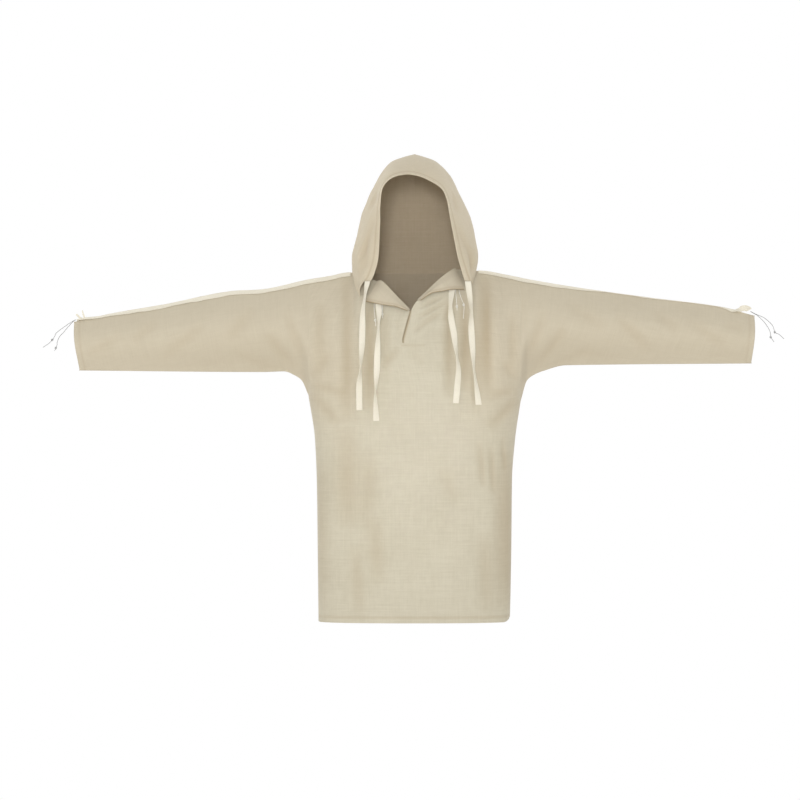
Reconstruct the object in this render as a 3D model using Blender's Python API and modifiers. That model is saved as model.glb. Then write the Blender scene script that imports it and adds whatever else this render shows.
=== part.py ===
"""A hooded linen pullover smock, standing open as it is worn, with the sleeves held out.

Metres, +Z up. The wearer faces -Y, and the wearer's left is +X. The origin is level with the
shoulders, in the middle. Every panel is the outer surface of its cloth, thickened inwards.
"""

import math

import bpy
import numpy as np

# Cloth
WALL = 0.0015                # thickness of a linen panel
TAPE_WALL = 0.0010           # thickness of twill tape
SEAM_GAP = 0.0003            # between two panels that are sewn together
NECK_CORNER_GAP = 0.0006     # more, where the shoulder seam turns into the neck opening
PRESSED = 0.0030             # strip beside a seam that lies square to it
SHOULDER_STRIP = 0.0018      # the same beside the shoulder seam, where the tape bends over it
TAPE_WIDTH = 0.013
CORD_RADIUS = 0.0006
KNOT_SIZE = 3.0              # a knot's thickness, in cord thicknesses
KNOT_HALF_LENGTH = 0.0022

# Body
HEM_Z = -0.7610
CHEST_DEPTH = {"front": 0.105, "back": 0.100}
HEM_DEPTH = {"front": 0.085, "back": 0.085}
SIDE_POWER = 2.4             # how square the body's level section is
ARMHOLE_X = 0.2334
ARMHOLE_DEPTH = 0.078        # of one half of the sleeve, where it meets the body
TOP_POWER = 3.4              # how early the shoulder starts to close
RIDGE_POWER = 1.12           # how sharp the fold along the top is: 0.5 is round, 1 is a corner

# Neck
NECK_HALF_WIDTH = 0.1320
NECK_DEPTH = {"front": 0.098, "back": 0.074}
BACK_NECK_Z = 0.0050
SLIT_TOP = (-0.0092, -0.0822)
SLIT_END = (-0.0258, -0.1522)
SLIT_WIDTH = 0.0010

# Outlines in the XZ plane. Side 1 is the wearer's left (+X), and side -1 the right (-X).
SHOULDER = {
    1: ((0.120, 0.0095), (0.150, 0.0085), (0.201, 0.0000), (0.254, -0.0110), (0.360, -0.0286),
        (0.518, -0.0506), (0.677, -0.0712), (0.747, -0.0893)),
    -1: ((0.120, 0.0065), (0.150, 0.0045), (0.182, -0.0022), (0.234, -0.0110), (0.340, -0.0328),
         (0.393, -0.0355), (0.551, -0.0655), (0.657, -0.0836), (0.748, -0.1030)),
}
UNDERARM = {
    1: ((0.2334, -0.2780), (0.2475, -0.2320), (0.2640, -0.2190), (0.2850, -0.2105),
        (0.3333, -0.1985), (0.7400, -0.1945)),
    -1: ((0.2334, -0.2640), (0.2480, -0.2320), (0.2620, -0.2215), (0.2870, -0.2120),
         (0.3355, -0.2134), (0.7360, -0.2100)),
}
SIDE_SEAM = {
    1: ((HEM_Z, 0.2101), (-0.600, 0.2130), (-0.451, 0.2145), (-0.363, 0.2211),
        (-0.278, ARMHOLE_X)),
    -1: ((HEM_Z, 0.2112), (-0.600, 0.2130), (-0.473, 0.2145), (-0.363, 0.2189),
         (-0.264, ARMHOLE_X)),
}
FRONT_NECK = {
    1: ((0.0018, -0.0632), (0.0262, -0.0408), (0.0595, -0.0094), (0.0835, 0.0080),
        (0.0911, 0.0102), (0.1320, 0.0092)),
    -1: ((0.0092, -0.0822), (0.0384, -0.0521), (0.0685, -0.0201), (0.0813, -0.0160),
         (0.1000, -0.0080), (0.1320, 0.0056)),
}
# Largest soft folds that run down the body: (x0, z0, x1, z1, width, depth)
FOLDS = {
    "front": ((-0.152, 0.000, -0.148, -0.330, 0.017, 0.0050), (0.159, -0.005, 0.160, -0.300, 0.017, 0.0050)),
    "back": ((-0.090, 0.000, -0.104, -0.300, 0.018, 0.0045), (0.092, 0.000, 0.108, -0.310, 0.018, 0.0045)),
}
CORNER = 0.015               # radius of the rounded hem corner on the left
CUFF_TOP = {1: 0.7470, -1: 0.7480}
CUFF_BOTTOM = {1: 0.7400, -1: 0.7360}
CUFF_BULGE = {1: 0.0030, -1: 0.0040}

# Where the rows and columns of the body panels run
UPPER_ROWS = [(1 - math.cos(math.radians(22.5 * i))) / 2 for i in range(9)]
LOWER_ROWS = (0.0, 0.12, 0.26, 0.40, 0.53, 0.65, 0.76, 0.87, 1.0)
SIDE_COLUMNS = (0.220, 0.203, 0.180, 0.156, 0.136, 0.118, 0.100, 0.0813, 0.0620, 0.0384)
LEFT_COLUMNS = (0.0018, 0.0262, 0.0450, 0.0640, 0.0835, 0.100, 0.118, 0.136, 0.156, 0.180,
                0.203, 0.220)

SIDE_NAME = {1: "left", -1: "right"}
FACING = {"front": -1, "back": 1}

LINEN = ("linen", (0.56, 0.50, 0.38, 1.0), 0.90)
TWILL = ("ivory_tape", (0.78, 0.73, 0.60, 1.0), 0.85)
STRING = ("thin_cord", (0.75, 0.75, 0.73, 1.0), 0.80)


def clear_scene():
    for obj in list(bpy.data.objects):
        bpy.data.objects.remove(obj, do_unlink=True)


def make_material(finish):
    name, colour, roughness = finish
    material = bpy.data.materials.new(name)
    material.use_nodes = True
    shader = material.node_tree.nodes["Principled BSDF"]
    shader.inputs["Base Color"].default_value = colour
    shader.inputs["Roughness"].default_value = roughness
    shader.inputs["Metallic"].default_value = 0.0
    return material


def smooth_between(points, at):
    """The value at a place, on a smooth line through (place, value) pairs that never overshoots."""
    x = [p[0] for p in points]
    y = [p[1] for p in points]
    if at <= x[0]:
        return y[0]
    if at >= x[-1]:
        return y[-1]
    steps = [(y[i + 1] - y[i]) / (x[i + 1] - x[i]) for i in range(len(x) - 1)]
    slopes = [steps[0]]
    for before, after in zip(steps, steps[1:]):
        same_way = before * after > 0
        slopes.append(2 * before * after / (before + after) if same_way else 0.0)
    slopes.append(steps[-1])
    i = max(k for k in range(len(x) - 1) if x[k] <= at)
    width = x[i + 1] - x[i]
    t = (at - x[i]) / width
    return (
        y[i] * (1 + 2 * t) * (1 - t) ** 2
        + slopes[i] * width * t * (1 - t) ** 2
        + y[i + 1] * t * t * (3 - 2 * t)
        + slopes[i + 1] * width * t * t * (t - 1)
    )


def smooth_route(points, count):
    """Evenly spaced points on a smooth curve (Catmull-Rom) through the given points."""
    p = np.array(points, float)
    p = np.vstack([2 * p[0] - p[1], p, 2 * p[-1] - p[-2]])
    fine = []
    for a, b, c, d in zip(p, p[1:], p[2:], p[3:]):
        for t in np.linspace(0, 1, 24, endpoint=False):
            fine.append(0.5 * (2 * b + (c - a) * t + (2 * a - 5 * b + 4 * c - d) * t * t
                               + (3 * b - a - 3 * c + d) * t ** 3))
    fine.append(p[-2])
    fine = np.array(fine)
    along = np.concatenate([[0], np.cumsum(np.linalg.norm(np.diff(fine, axis=0), axis=1))])
    at = np.linspace(0, along[-1], count)
    return np.stack([np.interp(at, along, fine[:, k]) for k in range(fine.shape[1])], axis=1)


# ---- The garment's surface ----

def side_of(x):
    return 1 if x >= 0 else -1


def shoulder_z(x):
    return smooth_between(SHOULDER[side_of(x)], abs(x))


def underarm_z(x):
    return smooth_between(UNDERARM[side_of(x)], abs(x))


def armpit_z(x):
    """Height of the level line from armpit to armpit, which the upper rows start from."""
    right, left = UNDERARM[-1][0][1], UNDERARM[1][0][1]
    share = (x + ARMHOLE_X) / (2 * ARMHOLE_X)
    return right + (left - right) * share


def half_width(z, side):
    return smooth_between(SIDE_SEAM[side], z)


def top_z(x, face):
    """Height of the panel's upper edge: the shoulder seam, or the neck opening's edge."""
    if abs(x) >= NECK_HALF_WIDTH:
        return shoulder_z(x)
    if face == "back":
        side_z = shoulder_z(math.copysign(NECK_HALF_WIDTH, x))
        return BACK_NECK_Z + (side_z - BACK_NECK_Z) * (abs(x) / NECK_HALF_WIDTH) ** 2
    if x < SLIT_TOP[0]:
        return smooth_between(FRONT_NECK[-1], -x)
    right_of_slit = ((SLIT_TOP[0], SLIT_TOP[1]),) + FRONT_NECK[1]
    return smooth_between(right_of_slit, x)


def neck_reach(x, face):
    """How far in front of or behind the shoulder line the neck opening's edge lies."""
    inside = max(0.0, 1 - (x / NECK_HALF_WIDTH) ** 2)
    return NECK_DEPTH[face] * inside ** 0.65


def closing(w):
    """How the depth falls from the chest (w = 0) to the fold along the shoulder (w = 1)."""
    return max(0.0, 1 - w ** TOP_POWER) ** RIDGE_POWER


def opening_out(w):
    """How the depth at the armhole grows from the armpit (w = 0) to half way up."""
    return math.sin(min(w / 0.5, 1.0) * math.pi / 2) ** RIDGE_POWER


def upper_depth(x, w, face):
    reach = neck_reach(x, face)
    chest = CHEST_DEPTH[face]
    depth = reach + (chest - reach) * closing(w)
    share = ARMHOLE_DEPTH / chest * opening_out(w)
    virtual_half = ARMHOLE_X / (1 - share ** SIDE_POWER) ** (1 / SIDE_POWER)
    return depth * max(0.0, 1 - (abs(x) / virtual_half) ** SIDE_POWER) ** (1 / SIDE_POWER)


def lower_depth(x, z, face):
    share = (z - HEM_Z) / (armpit_z(x) - HEM_Z)
    middle = HEM_DEPTH[face] + (CHEST_DEPTH[face] - HEM_DEPTH[face]) * share ** 1.5
    across = min(1.0, abs(x) / half_width(z, side_of(x)))
    return middle * (1 - across ** SIDE_POWER) ** (1 / SIDE_POWER)


def body_depth(x, z, face):
    """Depth of the body's outer surface, in front of or behind the side seams."""
    low, top = armpit_z(x), top_z(x, face)
    if z <= low:
        return lower_depth(x, z, face)
    return upper_depth(x, min(1.0, (z - low) / (top - low)), face)


def sleeve_section(x, w):
    """Half the sleeve's depth at a share w of its height, |x| out from the middle."""
    seam = closing(w) * opening_out(w)
    lens = math.sin(math.pi * w) ** RIDGE_POWER if 0 < w < 1 else 0.0
    along = min(1.0, (abs(x) - ARMHOLE_X) / 0.10)
    depth = smooth_between(((ARMHOLE_X, ARMHOLE_DEPTH), (0.262, 0.069), (0.300, 0.062),
                            (0.360, 0.056), (0.480, 0.050), (0.620, 0.042), (0.745, 0.031)),
                           abs(x))
    return depth * (seam + (lens - seam) * along)


def corner_lift(x, wide):
    """How far the rounded corner raises the hem, near the left side seam."""
    into = CORNER - (wide - x)
    return CORNER - math.sqrt(CORNER ** 2 - min(into, CORNER * 0.97) ** 2) if into > 0 else 0.0


def fold_depth(x, z, face):
    """How far the large folds take the cloth in, away from the seams."""
    total = 0.0
    for x0, z0, x1, z1, width, depth in FOLDS[face]:
        dx, dz = x1 - x0, z1 - z0
        t = min(1.0, max(0.0, ((x - x0) * dx + (z - z0) * dz) / (dx * dx + dz * dz)))
        away = math.hypot(x - (x0 + dx * t), z - (z0 + dz * t))
        total += depth * math.sin(math.pi * t) ** 0.6 * math.exp(-(away / width) ** 2)
    if abs(x) <= NECK_HALF_WIDTH + 0.01:
        return total * min(1.0, max(0.0, (top_z(x, face) - z) / 0.05))
    return total * min(1.0, max(0.0, (shoulder_z(x) - z) / 0.05))


# ---- Making objects ----

def add_object(name, mesh, collection, material):
    obj = bpy.data.objects.new(name, mesh)
    collection.objects.link(obj)
    obj.data.materials.append(material)
    return obj


def loft(name, rows, collection, material, wall, closed=False, flip=False):
    """A surface through rows of points, thickened by a wall away from its outer side."""
    count = len(rows[0])
    corners = [tuple(p) for row in rows for p in row]
    faces = []
    for j in range(len(rows) - 1):
        for i in range(count if closed else count - 1):
            a, b = j * count + i, j * count + (i + 1) % count
            face = (a, b, b + count, a + count)
            faces.append(face[::-1] if flip else face)
    mesh = bpy.data.meshes.new(name)
    mesh.from_pydata(corners, [], faces)
    mesh.update()
    mesh.shade_smooth()
    obj = add_object(name, mesh, collection, material)
    solidify = obj.modifiers.new("cloth wall", "SOLIDIFY")
    solidify.thickness = wall
    solidify.offset = -1.0
    solidify.use_even_offset = True
    return obj


def body_columns(face, w, z):
    """The x of each column at one height: side seam or armhole, pressed strip, then across."""
    inner = [-x for x in SIDE_COLUMNS] + [SLIT_TOP[0]] + list(LEFT_COLUMNS)
    if w is not None:
        edge = ARMHOLE_X - SEAM_GAP / 2
        strip = ARMHOLE_X - (PRESSED if w > 0 else SEAM_GAP / 2)
        return [-edge, -strip] + inner + [strip, edge]
    wide = {side: half_width(z, side) for side in (1, -1)}
    inner = [x * wide[side_of(x)] / ARMHOLE_X for x in inner]
    return [-wide[-1], -wide[-1]] + inner + [wide[1], wide[1]]


def body_panel(face, collection, material):
    """Front or back: level rows from the hem to the armpits, then rows up to the top edge."""
    forward = FACING[face]
    rows = []
    for share in LOWER_ROWS:
        row = []
        for i, x in enumerate(body_columns(face, None, HEM_Z + (armpit_z(0) - HEM_Z) * share)):
            z = HEM_Z + (armpit_z(x) - HEM_Z) * share
            x = x if share < 1 else math.copysign(min(abs(x), ARMHOLE_X), x)
            row.append([x, lower_depth(x, z, face) - fold_depth(x, z, face), z])
        row[0][1] = row[-1][1] = SEAM_GAP / 2
        row[1][1] = row[-2][1] = PRESSED
        if share == 0.0:
            for point in row:
                point[2] += corner_lift(point[0], row[-1][0])
        if share == 1.0:
            row[0][1] = row[-1][1] = PRESSED / 2
        rows.append(row)
    for w in UPPER_ROWS[1:-1] + [None, 1.0]:
        share = 0.985 if w is None else w
        row = []
        for x in body_columns(face, share, None):
            top = top_z(x, face)
            z = armpit_z(x) + (top - armpit_z(x)) * share
            depth = upper_depth(x, share, face)
            if abs(x) >= NECK_HALF_WIDTH and share > 0.97:
                at_neck = abs(x) < NECK_HALF_WIDTH + 0.005
                z, depth = top, SEAM_GAP / 2 + (NECK_CORNER_GAP if at_neck else 0.0)
                if w is None:
                    depth = SHOULDER_STRIP
            row.append([x, depth - fold_depth(x, z, face), z])
        rows.append(row)
    for row in rows:
        for point in row:
            point[1] *= forward
    return loft(face, rows, collection, material, WALL, flip=face == "back")


def slit_cutter(collection):
    """A thin upright blade along the slit below the neck opening."""
    (x0, z0), (x1, z1) = SLIT_TOP, SLIT_END
    length = math.hypot(x1 - x0, z1 - z0)
    above = 0.02
    bpy.ops.mesh.primitive_cube_add(size=1.0)
    blade = bpy.context.object
    blade.name = "slit_blade"
    blade.scale = (SLIT_WIDTH, 0.08, length + above)
    blade.rotation_euler = (0.0, math.atan2(x0 - x1, z0 - z1), 0.0)
    upward = np.array([x0 - x1, z0 - z1]) / length
    middle = np.array([(x0 + x1) / 2, (z0 + z1) / 2]) + upward * above / 2
    blade.location = (middle[0], -CHEST_DEPTH["front"], middle[1])
    blade.hide_render = True
    blade.display_type = "WIRE"
    for other in list(blade.users_collection):
        other.objects.unlink(blade)
    collection.objects.link(blade)
    return blade


def sleeve(side, collection, material):
    """Rings from the dropped shoulder seam to the cuff, which slants back towards the hem."""
    stations = (0.0, 0.0085, 0.030, 0.058, 0.100, 0.160, 0.260, 0.400, 0.560, 0.740, 0.880, 1.0)
    start = ARMHOLE_X + SEAM_GAP / 2
    around = UPPER_ROWS + UPPER_ROWS[-2:0:-1]
    rows = []
    for number, share in enumerate(stations):
        row = []
        for i, w in enumerate(around):
            end = CUFF_BOTTOM[side] + (CUFF_TOP[side] - CUFF_BOTTOM[side]) * w
            end += CUFF_BULGE[side] * math.sin(math.pi * w) * w
            out = start + (end - start) * share
            shape = ARMHOLE_X if number < 2 else out
            low, top = underarm_z(side * shape), shoulder_z(side * shape)
            depth = sleeve_section(shape, w)
            toward = -1 if i < len(UPPER_ROWS) else 1
            row.append((side * out, toward * depth, low + (top - low) * w))
        rows.append(row)
    return loft(f"sleeve_{SIDE_NAME[side]}", rows, collection, material, WALL, closed=True,
                flip=side > 0)


# ---- Hood ----

# Each line runs from the hood's lower edge up to the centre seam, as distances out from x = 0.
HOOD_RIM = {
    1: ((0.1097, -0.0930, -0.0152), (0.1015, -0.1000, 0.0126), (0.0950, -0.1060, 0.0356),
        (0.0861, -0.1130, 0.0790), (0.0782, -0.1170, 0.1235), (0.0724, -0.1190, 0.1572),
        (0.0637, -0.1200, 0.1789), (0.0506, -0.1200, 0.1919), (0.0285, -0.1190, 0.2034),
        (0.0, -0.1180, 0.2136)),
    -1: ((0.0960, -0.0930, -0.0157), (0.0893, -0.0970, -0.0013), (0.0801, -0.1060, 0.0356),
         (0.0768, -0.1150, 0.1007), (0.0757, -0.1190, 0.1463), (0.0714, -0.1200, 0.1831),
         (0.0580, -0.1200, 0.2024), (0.0406, -0.1190, 0.2120), (0.0, -0.1180, 0.2136)),
}
HOOD_SIDE = {
    1: ((0.1355, 0.0112), (0.1419, 0.0506), (0.1331, 0.0902), (0.1221, 0.1298),
        (0.1111, 0.1562), (0.0979, 0.1826), (0.0759, 0.2222), (0.0473, 0.2486),
        (0.0231, 0.2618), (0.0, 0.2655)),
    -1: ((0.1370, 0.0078), (0.1397, 0.0506), (0.1287, 0.0902), (0.1177, 0.1298),
         (0.1067, 0.1562), (0.0957, 0.1826), (0.0737, 0.2222), (0.0517, 0.2486),
         (0.0231, 0.2618), (0.0, 0.2655)),
}
HOOD_BACK = ((0.0790, -0.0010), (0.1000, 0.0450), (0.1160, 0.0950), (0.1220, 0.1450),
             (0.1120, 0.1950), (0.0820, 0.2350), (0.0450, 0.2565))
HOOD_HEM = {
    1: ((0.1097, -0.0930, -0.0152), (0.1165, -0.0920, -0.0153), (0.1240, -0.0860, -0.0152),
        (0.1262, -0.0600, -0.0202), (0.1300, -0.0420, -0.0100), (0.1345, -0.0200, 0.0020),
        (0.1355, 0.0, 0.0112)),
    -1: ((0.0960, -0.0930, -0.0157), (0.1030, -0.0925, -0.0153), (0.1093, -0.0900, -0.0157),
         (0.1205, -0.0810, -0.0362), (0.1198, -0.0750, -0.0505), (0.1320, -0.0450, -0.0200),
         (0.1370, 0.0, 0.0078)),
}
RIM_ANGLE = math.radians(40)       # how far round the level section the rim cuts it
HOOD_FRONT_SHARES = (0.0, 0.16, 0.33, 0.50, 0.67, 0.85, 1.0)
HOOD_BACK_ANGLES = (20, 40, 60, 78)
HOOD_ROWS = (0.0, 0.06, 0.14, 0.25, 0.38, 0.52, 0.66, 0.79, 0.90)
HOOD_EASE = 0.0024                 # between the hood's lower edge and the body's neck edge
HEM_REACH = 0.30                   # share of the hood's height that the lower edge pulls on


def hood_base_behind(x, side):
    """The hood's lower edge behind the shoulder: it laps over the body's neck edge."""
    wide = HOOD_SIDE[side][0][0]
    clear = WALL + SEAM_GAP
    reach = neck_reach(x / wide * NECK_HALF_WIDTH, "back")
    y = reach + clear + HOOD_EASE
    low, high = 0.80, 1.0
    inside = min(x, ARMHOLE_X)
    for _ in range(30):
        middle = (low + high) / 2
        if upper_depth(side * inside, middle, "back") > reach + 0.0006:
            low = middle
        else:
            high = middle
    start, top = armpit_z(side * inside), top_z(side * inside, "back")
    lift = HOOD_EASE * (0.5 + 2.3 * (x / wide) ** 8)
    return (x, y, start + (top - start) * high + lift)


def hood_panel(side, collection, material):
    """One half of the hood: rows from its lower edge to the crown, each from rim to back seam."""
    count = 60
    rim = smooth_route(HOOD_RIM[side], count)
    out = smooth_route([(x, 0.0, z) for x, z in HOOD_SIDE[side]], count)
    back = smooth_route([(0.0, y, z) for y, z in HOOD_BACK], count)
    hem = HOOD_HEM[side]
    angles = [RIM_ANGLE + (math.pi / 2 - RIM_ANGLE) * t for t in HOOD_FRONT_SHARES]

    def row_at(q):
        i = q * (count - 1)
        a, b, share = int(i), min(int(i) + 1, count - 1), i - int(i)
        r, s, n = (line[a] + (line[b] - line[a]) * share for line in (rim, out, back))
        row = []
        for angle in angles:
            near = math.cos(angle) / math.cos(RIM_ANGLE)
            across = (math.sin(angle) - math.sin(RIM_ANGLE)) / (1 - math.sin(RIM_ANGLE))
            row.append([r[0] + (s[0] - r[0]) * across, r[1] * near,
                        s[2] - (s[2] - r[2]) * near ** 1.5])
        for degrees in HOOD_BACK_ANGLES + (90,):
            behind = math.radians(degrees)
            row.append([s[0] * math.cos(behind), n[1] * math.sin(behind),
                        s[2] + (n[2] - s[2]) * (1 - math.cos(behind))])
        return np.array(row)

    lowest = row_at(0.0)
    wanted = [list(p) for p in hem]
    wanted += [list(hood_base_behind(p[0], side)) for p in lowest[len(hem):]]
    pull = np.array(wanted) - lowest
    rows = []
    for q in HOOD_ROWS:
        row = row_at(q) + pull * max(0.0, 1 - q / HEM_REACH) ** 2
        seam = row[-1].copy()
        row[-1][0] = PRESSED
        rows.append(np.vstack([row, [SEAM_GAP / 2, seam[1], seam[2]]]))
    crown = row_at(1.0)
    for x in (PRESSED, SEAM_GAP / 2):
        row = crown.copy()
        row[:, 0] = x
        rows.append(np.vstack([row, [SEAM_GAP / 2, row[-1][1], row[-1][2]]]))
    if side < 0:
        rows = [row * (-1, 1, 1) for row in rows]
    return loft(f"hood_{SIDE_NAME[side]}", rows, collection, material, WALL, flip=side < 0)


# ---- What lies on the front ----

LAPEL_FOLD = {
    1: ((0.0911, 0.0102), (0.0835, 0.0080), (0.0595, -0.0094), (0.0262, -0.0408),
        (0.0085, -0.0567)),
    -1: ((-0.0813, -0.0160), (-0.0685, -0.0201), (-0.0384, -0.0521), (-0.0125, -0.0787)),
}
LAPEL_EDGE = {
    1: ((0.1082, -0.0335), (0.0812, -0.0335), (0.0595, -0.0379), (0.0373, -0.0422),
        (0.0130, -0.0575)),
    -1: ((-0.1059, -0.0596), (-0.0891, -0.0633), (-0.0667, -0.0677), (-0.0450, -0.0705),
         (-0.0165, -0.0800)),
}
LAPEL_LIFTS = ((0.0, 0.0030), (0.4, 0.0088), (1.0, 0.0115))


def lapel(side, collection, material):
    """A faced corner of the neck opening, turned outwards along the fold over the front."""
    stations = 8
    fold = smooth_route(LAPEL_FOLD[side], stations)
    edge = smooth_route(LAPEL_EDGE[side], stations)
    rows = []
    for share, lift in LAPEL_LIFTS:
        row = []
        for (x0, z0), (x1, z1) in zip(fold, edge):
            x, z = x0 + (x1 - x0) * share, z0 + (z1 - z0) * share
            row.append((x, -body_depth(x, z, "front") - lift, z))
        rows.append(row)
    return loft(f"lapel_{SIDE_NAME[side]}", rows, collection, material, WALL, flip=side < 0)


# Ties: each point is (x, z, turn in degrees). Turned by 90, the tape is edge on.
TIES = {
    "tie_hood_right": ((-0.1023, -0.0165, 25), (-0.1079, -0.0480, 68),
                       (-0.1123, -0.0813, 45), (-0.1136, -0.1143, 10),
                       (-0.1146, -0.1469, -10), (-0.1168, -0.1881, -62),
                       (-0.1179, -0.2098, -75), (-0.1205, -0.2359, -30),
                       (-0.1207, -0.2576, -5), (-0.1201, -0.2974, 0)),
    "tie_neck_right": ((-0.0784, -0.0560, 0), (-0.0784, -0.0700, 5),
                       (-0.0772, -0.0860, 30), (-0.0779, -0.1078, 70),
                       (-0.0790, -0.1360, 55), (-0.0814, -0.1810, 5),
                       (-0.0821, -0.2033, -8), (-0.0851, -0.2520, -75),
                       (-0.0858, -0.2720, -62), (-0.0836, -0.3206, -10)),
    "tie_neck_left": ((0.0815, -0.0300, -8), (0.0812, -0.0380, 15),
                      (0.0782, -0.0702, 55), (0.0804, -0.1034, 8),
                      (0.0849, -0.1295, -10), (0.0882, -0.1588, -48),
                      (0.0915, -0.1810, -70), (0.0949, -0.2098, -40),
                      (0.0925, -0.2468, -5), (0.0897, -0.2820, 20)),
    "tie_hood_left": ((0.1160, -0.0165, 0), (0.1201, -0.0480, 30),
                      (0.1236, -0.0813, 62), (0.1236, -0.1251, 8),
                      (0.1260, -0.1655, -30), (0.1282, -0.2055, -70),
                      (0.1325, -0.2359, -60), (0.1392, -0.2852, -5)),
}
TIE_STATIONS = 14
TIE_CLEARANCE = 0.0035       # of a tie that lies flat on the front
TIE_FORWARD = 0.0925         # a hood tie hangs from the hood's hem, at least this far forward


def strip(name, middles, across, collection, material, width=TAPE_WIDTH):
    """A flat tape: its middle points, and the unit direction of its width at each."""
    rows = [[m - d * width / 2, m, m + d * width / 2] for m, d in zip(middles, across)]
    return loft(name, rows, collection, material, TAPE_WALL)


def tie(name, collection, material):
    route = smooth_route([(x, z, turn * 0.001) for x, z, turn in TIES[name]], TIE_STATIONS)
    middles, across = [], []
    for x, z, turn in route:
        angle = math.radians(turn * 1000)
        y = body_depth(x, z, "front") + TIE_CLEARANCE + abs(math.sin(angle)) * TAPE_WIDTH / 2
        if "hood" in name:
            y = max(y, TIE_FORWARD)
        middles.append(np.array((x, -y, z)))
        across.append(np.array((math.cos(angle), -math.sin(angle), 0.0)))
    return strip(name, middles, across, collection, material)


# ---- Tape along the shoulder and the sleeve ----

TAPE_START = 0.1405
SEAM_CROSSED = 0.2360        # the tape keeps the body's shape until it is past the armhole seam
TAPE_END = {1: 0.7000, -1: 0.7435}
TAPE_ON_FRONT = {            # how much of the tape's width lies on the front, at distances out
    1: ((0.14, 0.0085), (0.39, 0.0080), (0.44, 0.0040), (0.59, 0.0040), (0.64, 0.0090),
        (0.70, 0.0100)),
    -1: ((0.14, 0.0118), (0.30, 0.0105), (0.42, 0.0085), (0.56, 0.0098), (0.74, 0.0090)),
}
TAPE_LIFT = 0.0009 + TAPE_WALL     # of the tape's outer face off the cloth
# The free end on the left: middle points, and the direction of the width from front to back
TAPE_CURL = (
    ((0.7090, -0.0008, -0.0770), (0.0, 0.90, 0.40)),
    ((0.7140, -0.0010, -0.0762), (0.0, 0.75, 0.62)),
    ((0.7180, -0.0018, -0.0743), (-0.1, 0.38, 0.92)),
    ((0.7230, -0.0022, -0.0732), (-0.1, 0.20, 0.97)),
    ((0.7285, -0.0022, -0.0730), (0.08, 0.14, 0.98)),
    ((0.7328, -0.0015, -0.0743), (0.34, 0.12, 0.92)),
    ((0.7352, -0.0005, -0.0758), (0.65, 0.12, 0.72)),
)
TAPE_TAILS = {
    "tape_tail_right_upper": (((-0.7340, 0.0000, -0.0957), 0.0062), ((-0.7372, 0.0, -0.0930), 0.0058),
                              ((-0.7410, 0.0, -0.0893), 0.0055), ((-0.7440, 0.0, -0.0862), 0.0050)),
    "tape_tail_right_lower": (((-0.7262, 0.0000, -0.0937), 0.0046), ((-0.7280, 0.0, -0.0893), 0.0046),
                              ((-0.7298, 0.0, -0.0835), 0.0038), ((-0.7312, 0.0, -0.0779), 0.0020)),
}


def beside_ridge(x, arc, face):
    """A point of the tape's outer face, an arc's length down one side of the top fold."""
    w = UPPER_ROWS[-2]
    if abs(x) < SEAM_CROSSED:
        flat = SHOULDER_STRIP
        x = math.copysign(min(abs(x), ARMHOLE_X), x)
        low, top = armpit_z(x), top_z(x, face)
        below = (upper_depth(x, w, face), low + (top - low) * w)
    else:
        flat = 0.0
        low, top = underarm_z(x), shoulder_z(x)
        below = (sleeve_section(x, w), low + (top - low) * w)
    slope = np.array((below[0] - flat, below[1] - top))
    slope /= np.linalg.norm(slope)
    outward = np.array((-slope[1], slope[0]))
    if arc <= flat:
        return np.array((arc, top + TAPE_LIFT))
    corner = np.array((flat, top))
    if arc < flat + 0.0008:
        corner_out = outward + np.array((0.0, 1.0))
        return corner + corner_out * TAPE_LIFT / (1 + outward[1])
    return corner + slope * (arc - flat) + outward * TAPE_LIFT


def shoulder_tape(side, collection, material):
    """Tape folded over the top edge, from the hood to the cuff; it wanders across the fold."""
    end = TAPE_END[side]
    outs = [TAPE_START, 0.156, 0.180, 0.203, 0.220, 0.2304, 0.2350, 0.2400, 0.2500, 0.2630, 0.2850, 0.3150, 0.3660, 0.4380, 0.5200,
                         0.5700, 0.6140, 0.6600]
    outs += [end] if side > 0 else [0.6860, 0.7100, end]
    rows = []
    for out in outs:
        x = side * out
        front = smooth_between(TAPE_ON_FRONT[side], out)
        back = TAPE_WIDTH - front
        bend = SHOULDER_STRIP + 0.0004
        row = []
        for arc, face in ((front, "front"), (bend, "front"), (0.0, "front"),
                          (min(bend, back * 0.6), "back"), (back, "back")):
            y, z = beside_ridge(x, arc, face)
            row.append(np.array((x, FACING[face] * y, z)))
        if out >= SEAM_CROSSED:
            row[2][2] += TAPE_LIFT * 0.6
        rows.append(row)
    if side > 0:
        for middle, direction in TAPE_CURL:
            width = np.array(direction) / np.linalg.norm(direction) * TAPE_WIDTH
            rows.append([np.array(middle) + width * t for t in (-0.5, -0.2, 0.0, 0.2, 0.5)])
    return loft(f"tape_{SIDE_NAME[side]}", rows, collection, material, TAPE_WALL, flip=side > 0)


def tape_tail(name, collection, material):
    """One of the two narrow points that the cut end of the right tape splits into."""
    rows = []
    for (middle, width) in TAPE_TAILS[name]:
        half = np.array((0.75, -0.35, 0.35)) * width / 2
        rows.append([np.array(middle) - half, np.array(middle), np.array(middle) + half])
    return loft(name, rows, collection, material, TAPE_WALL)


# ---- Thin cords ----

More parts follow.
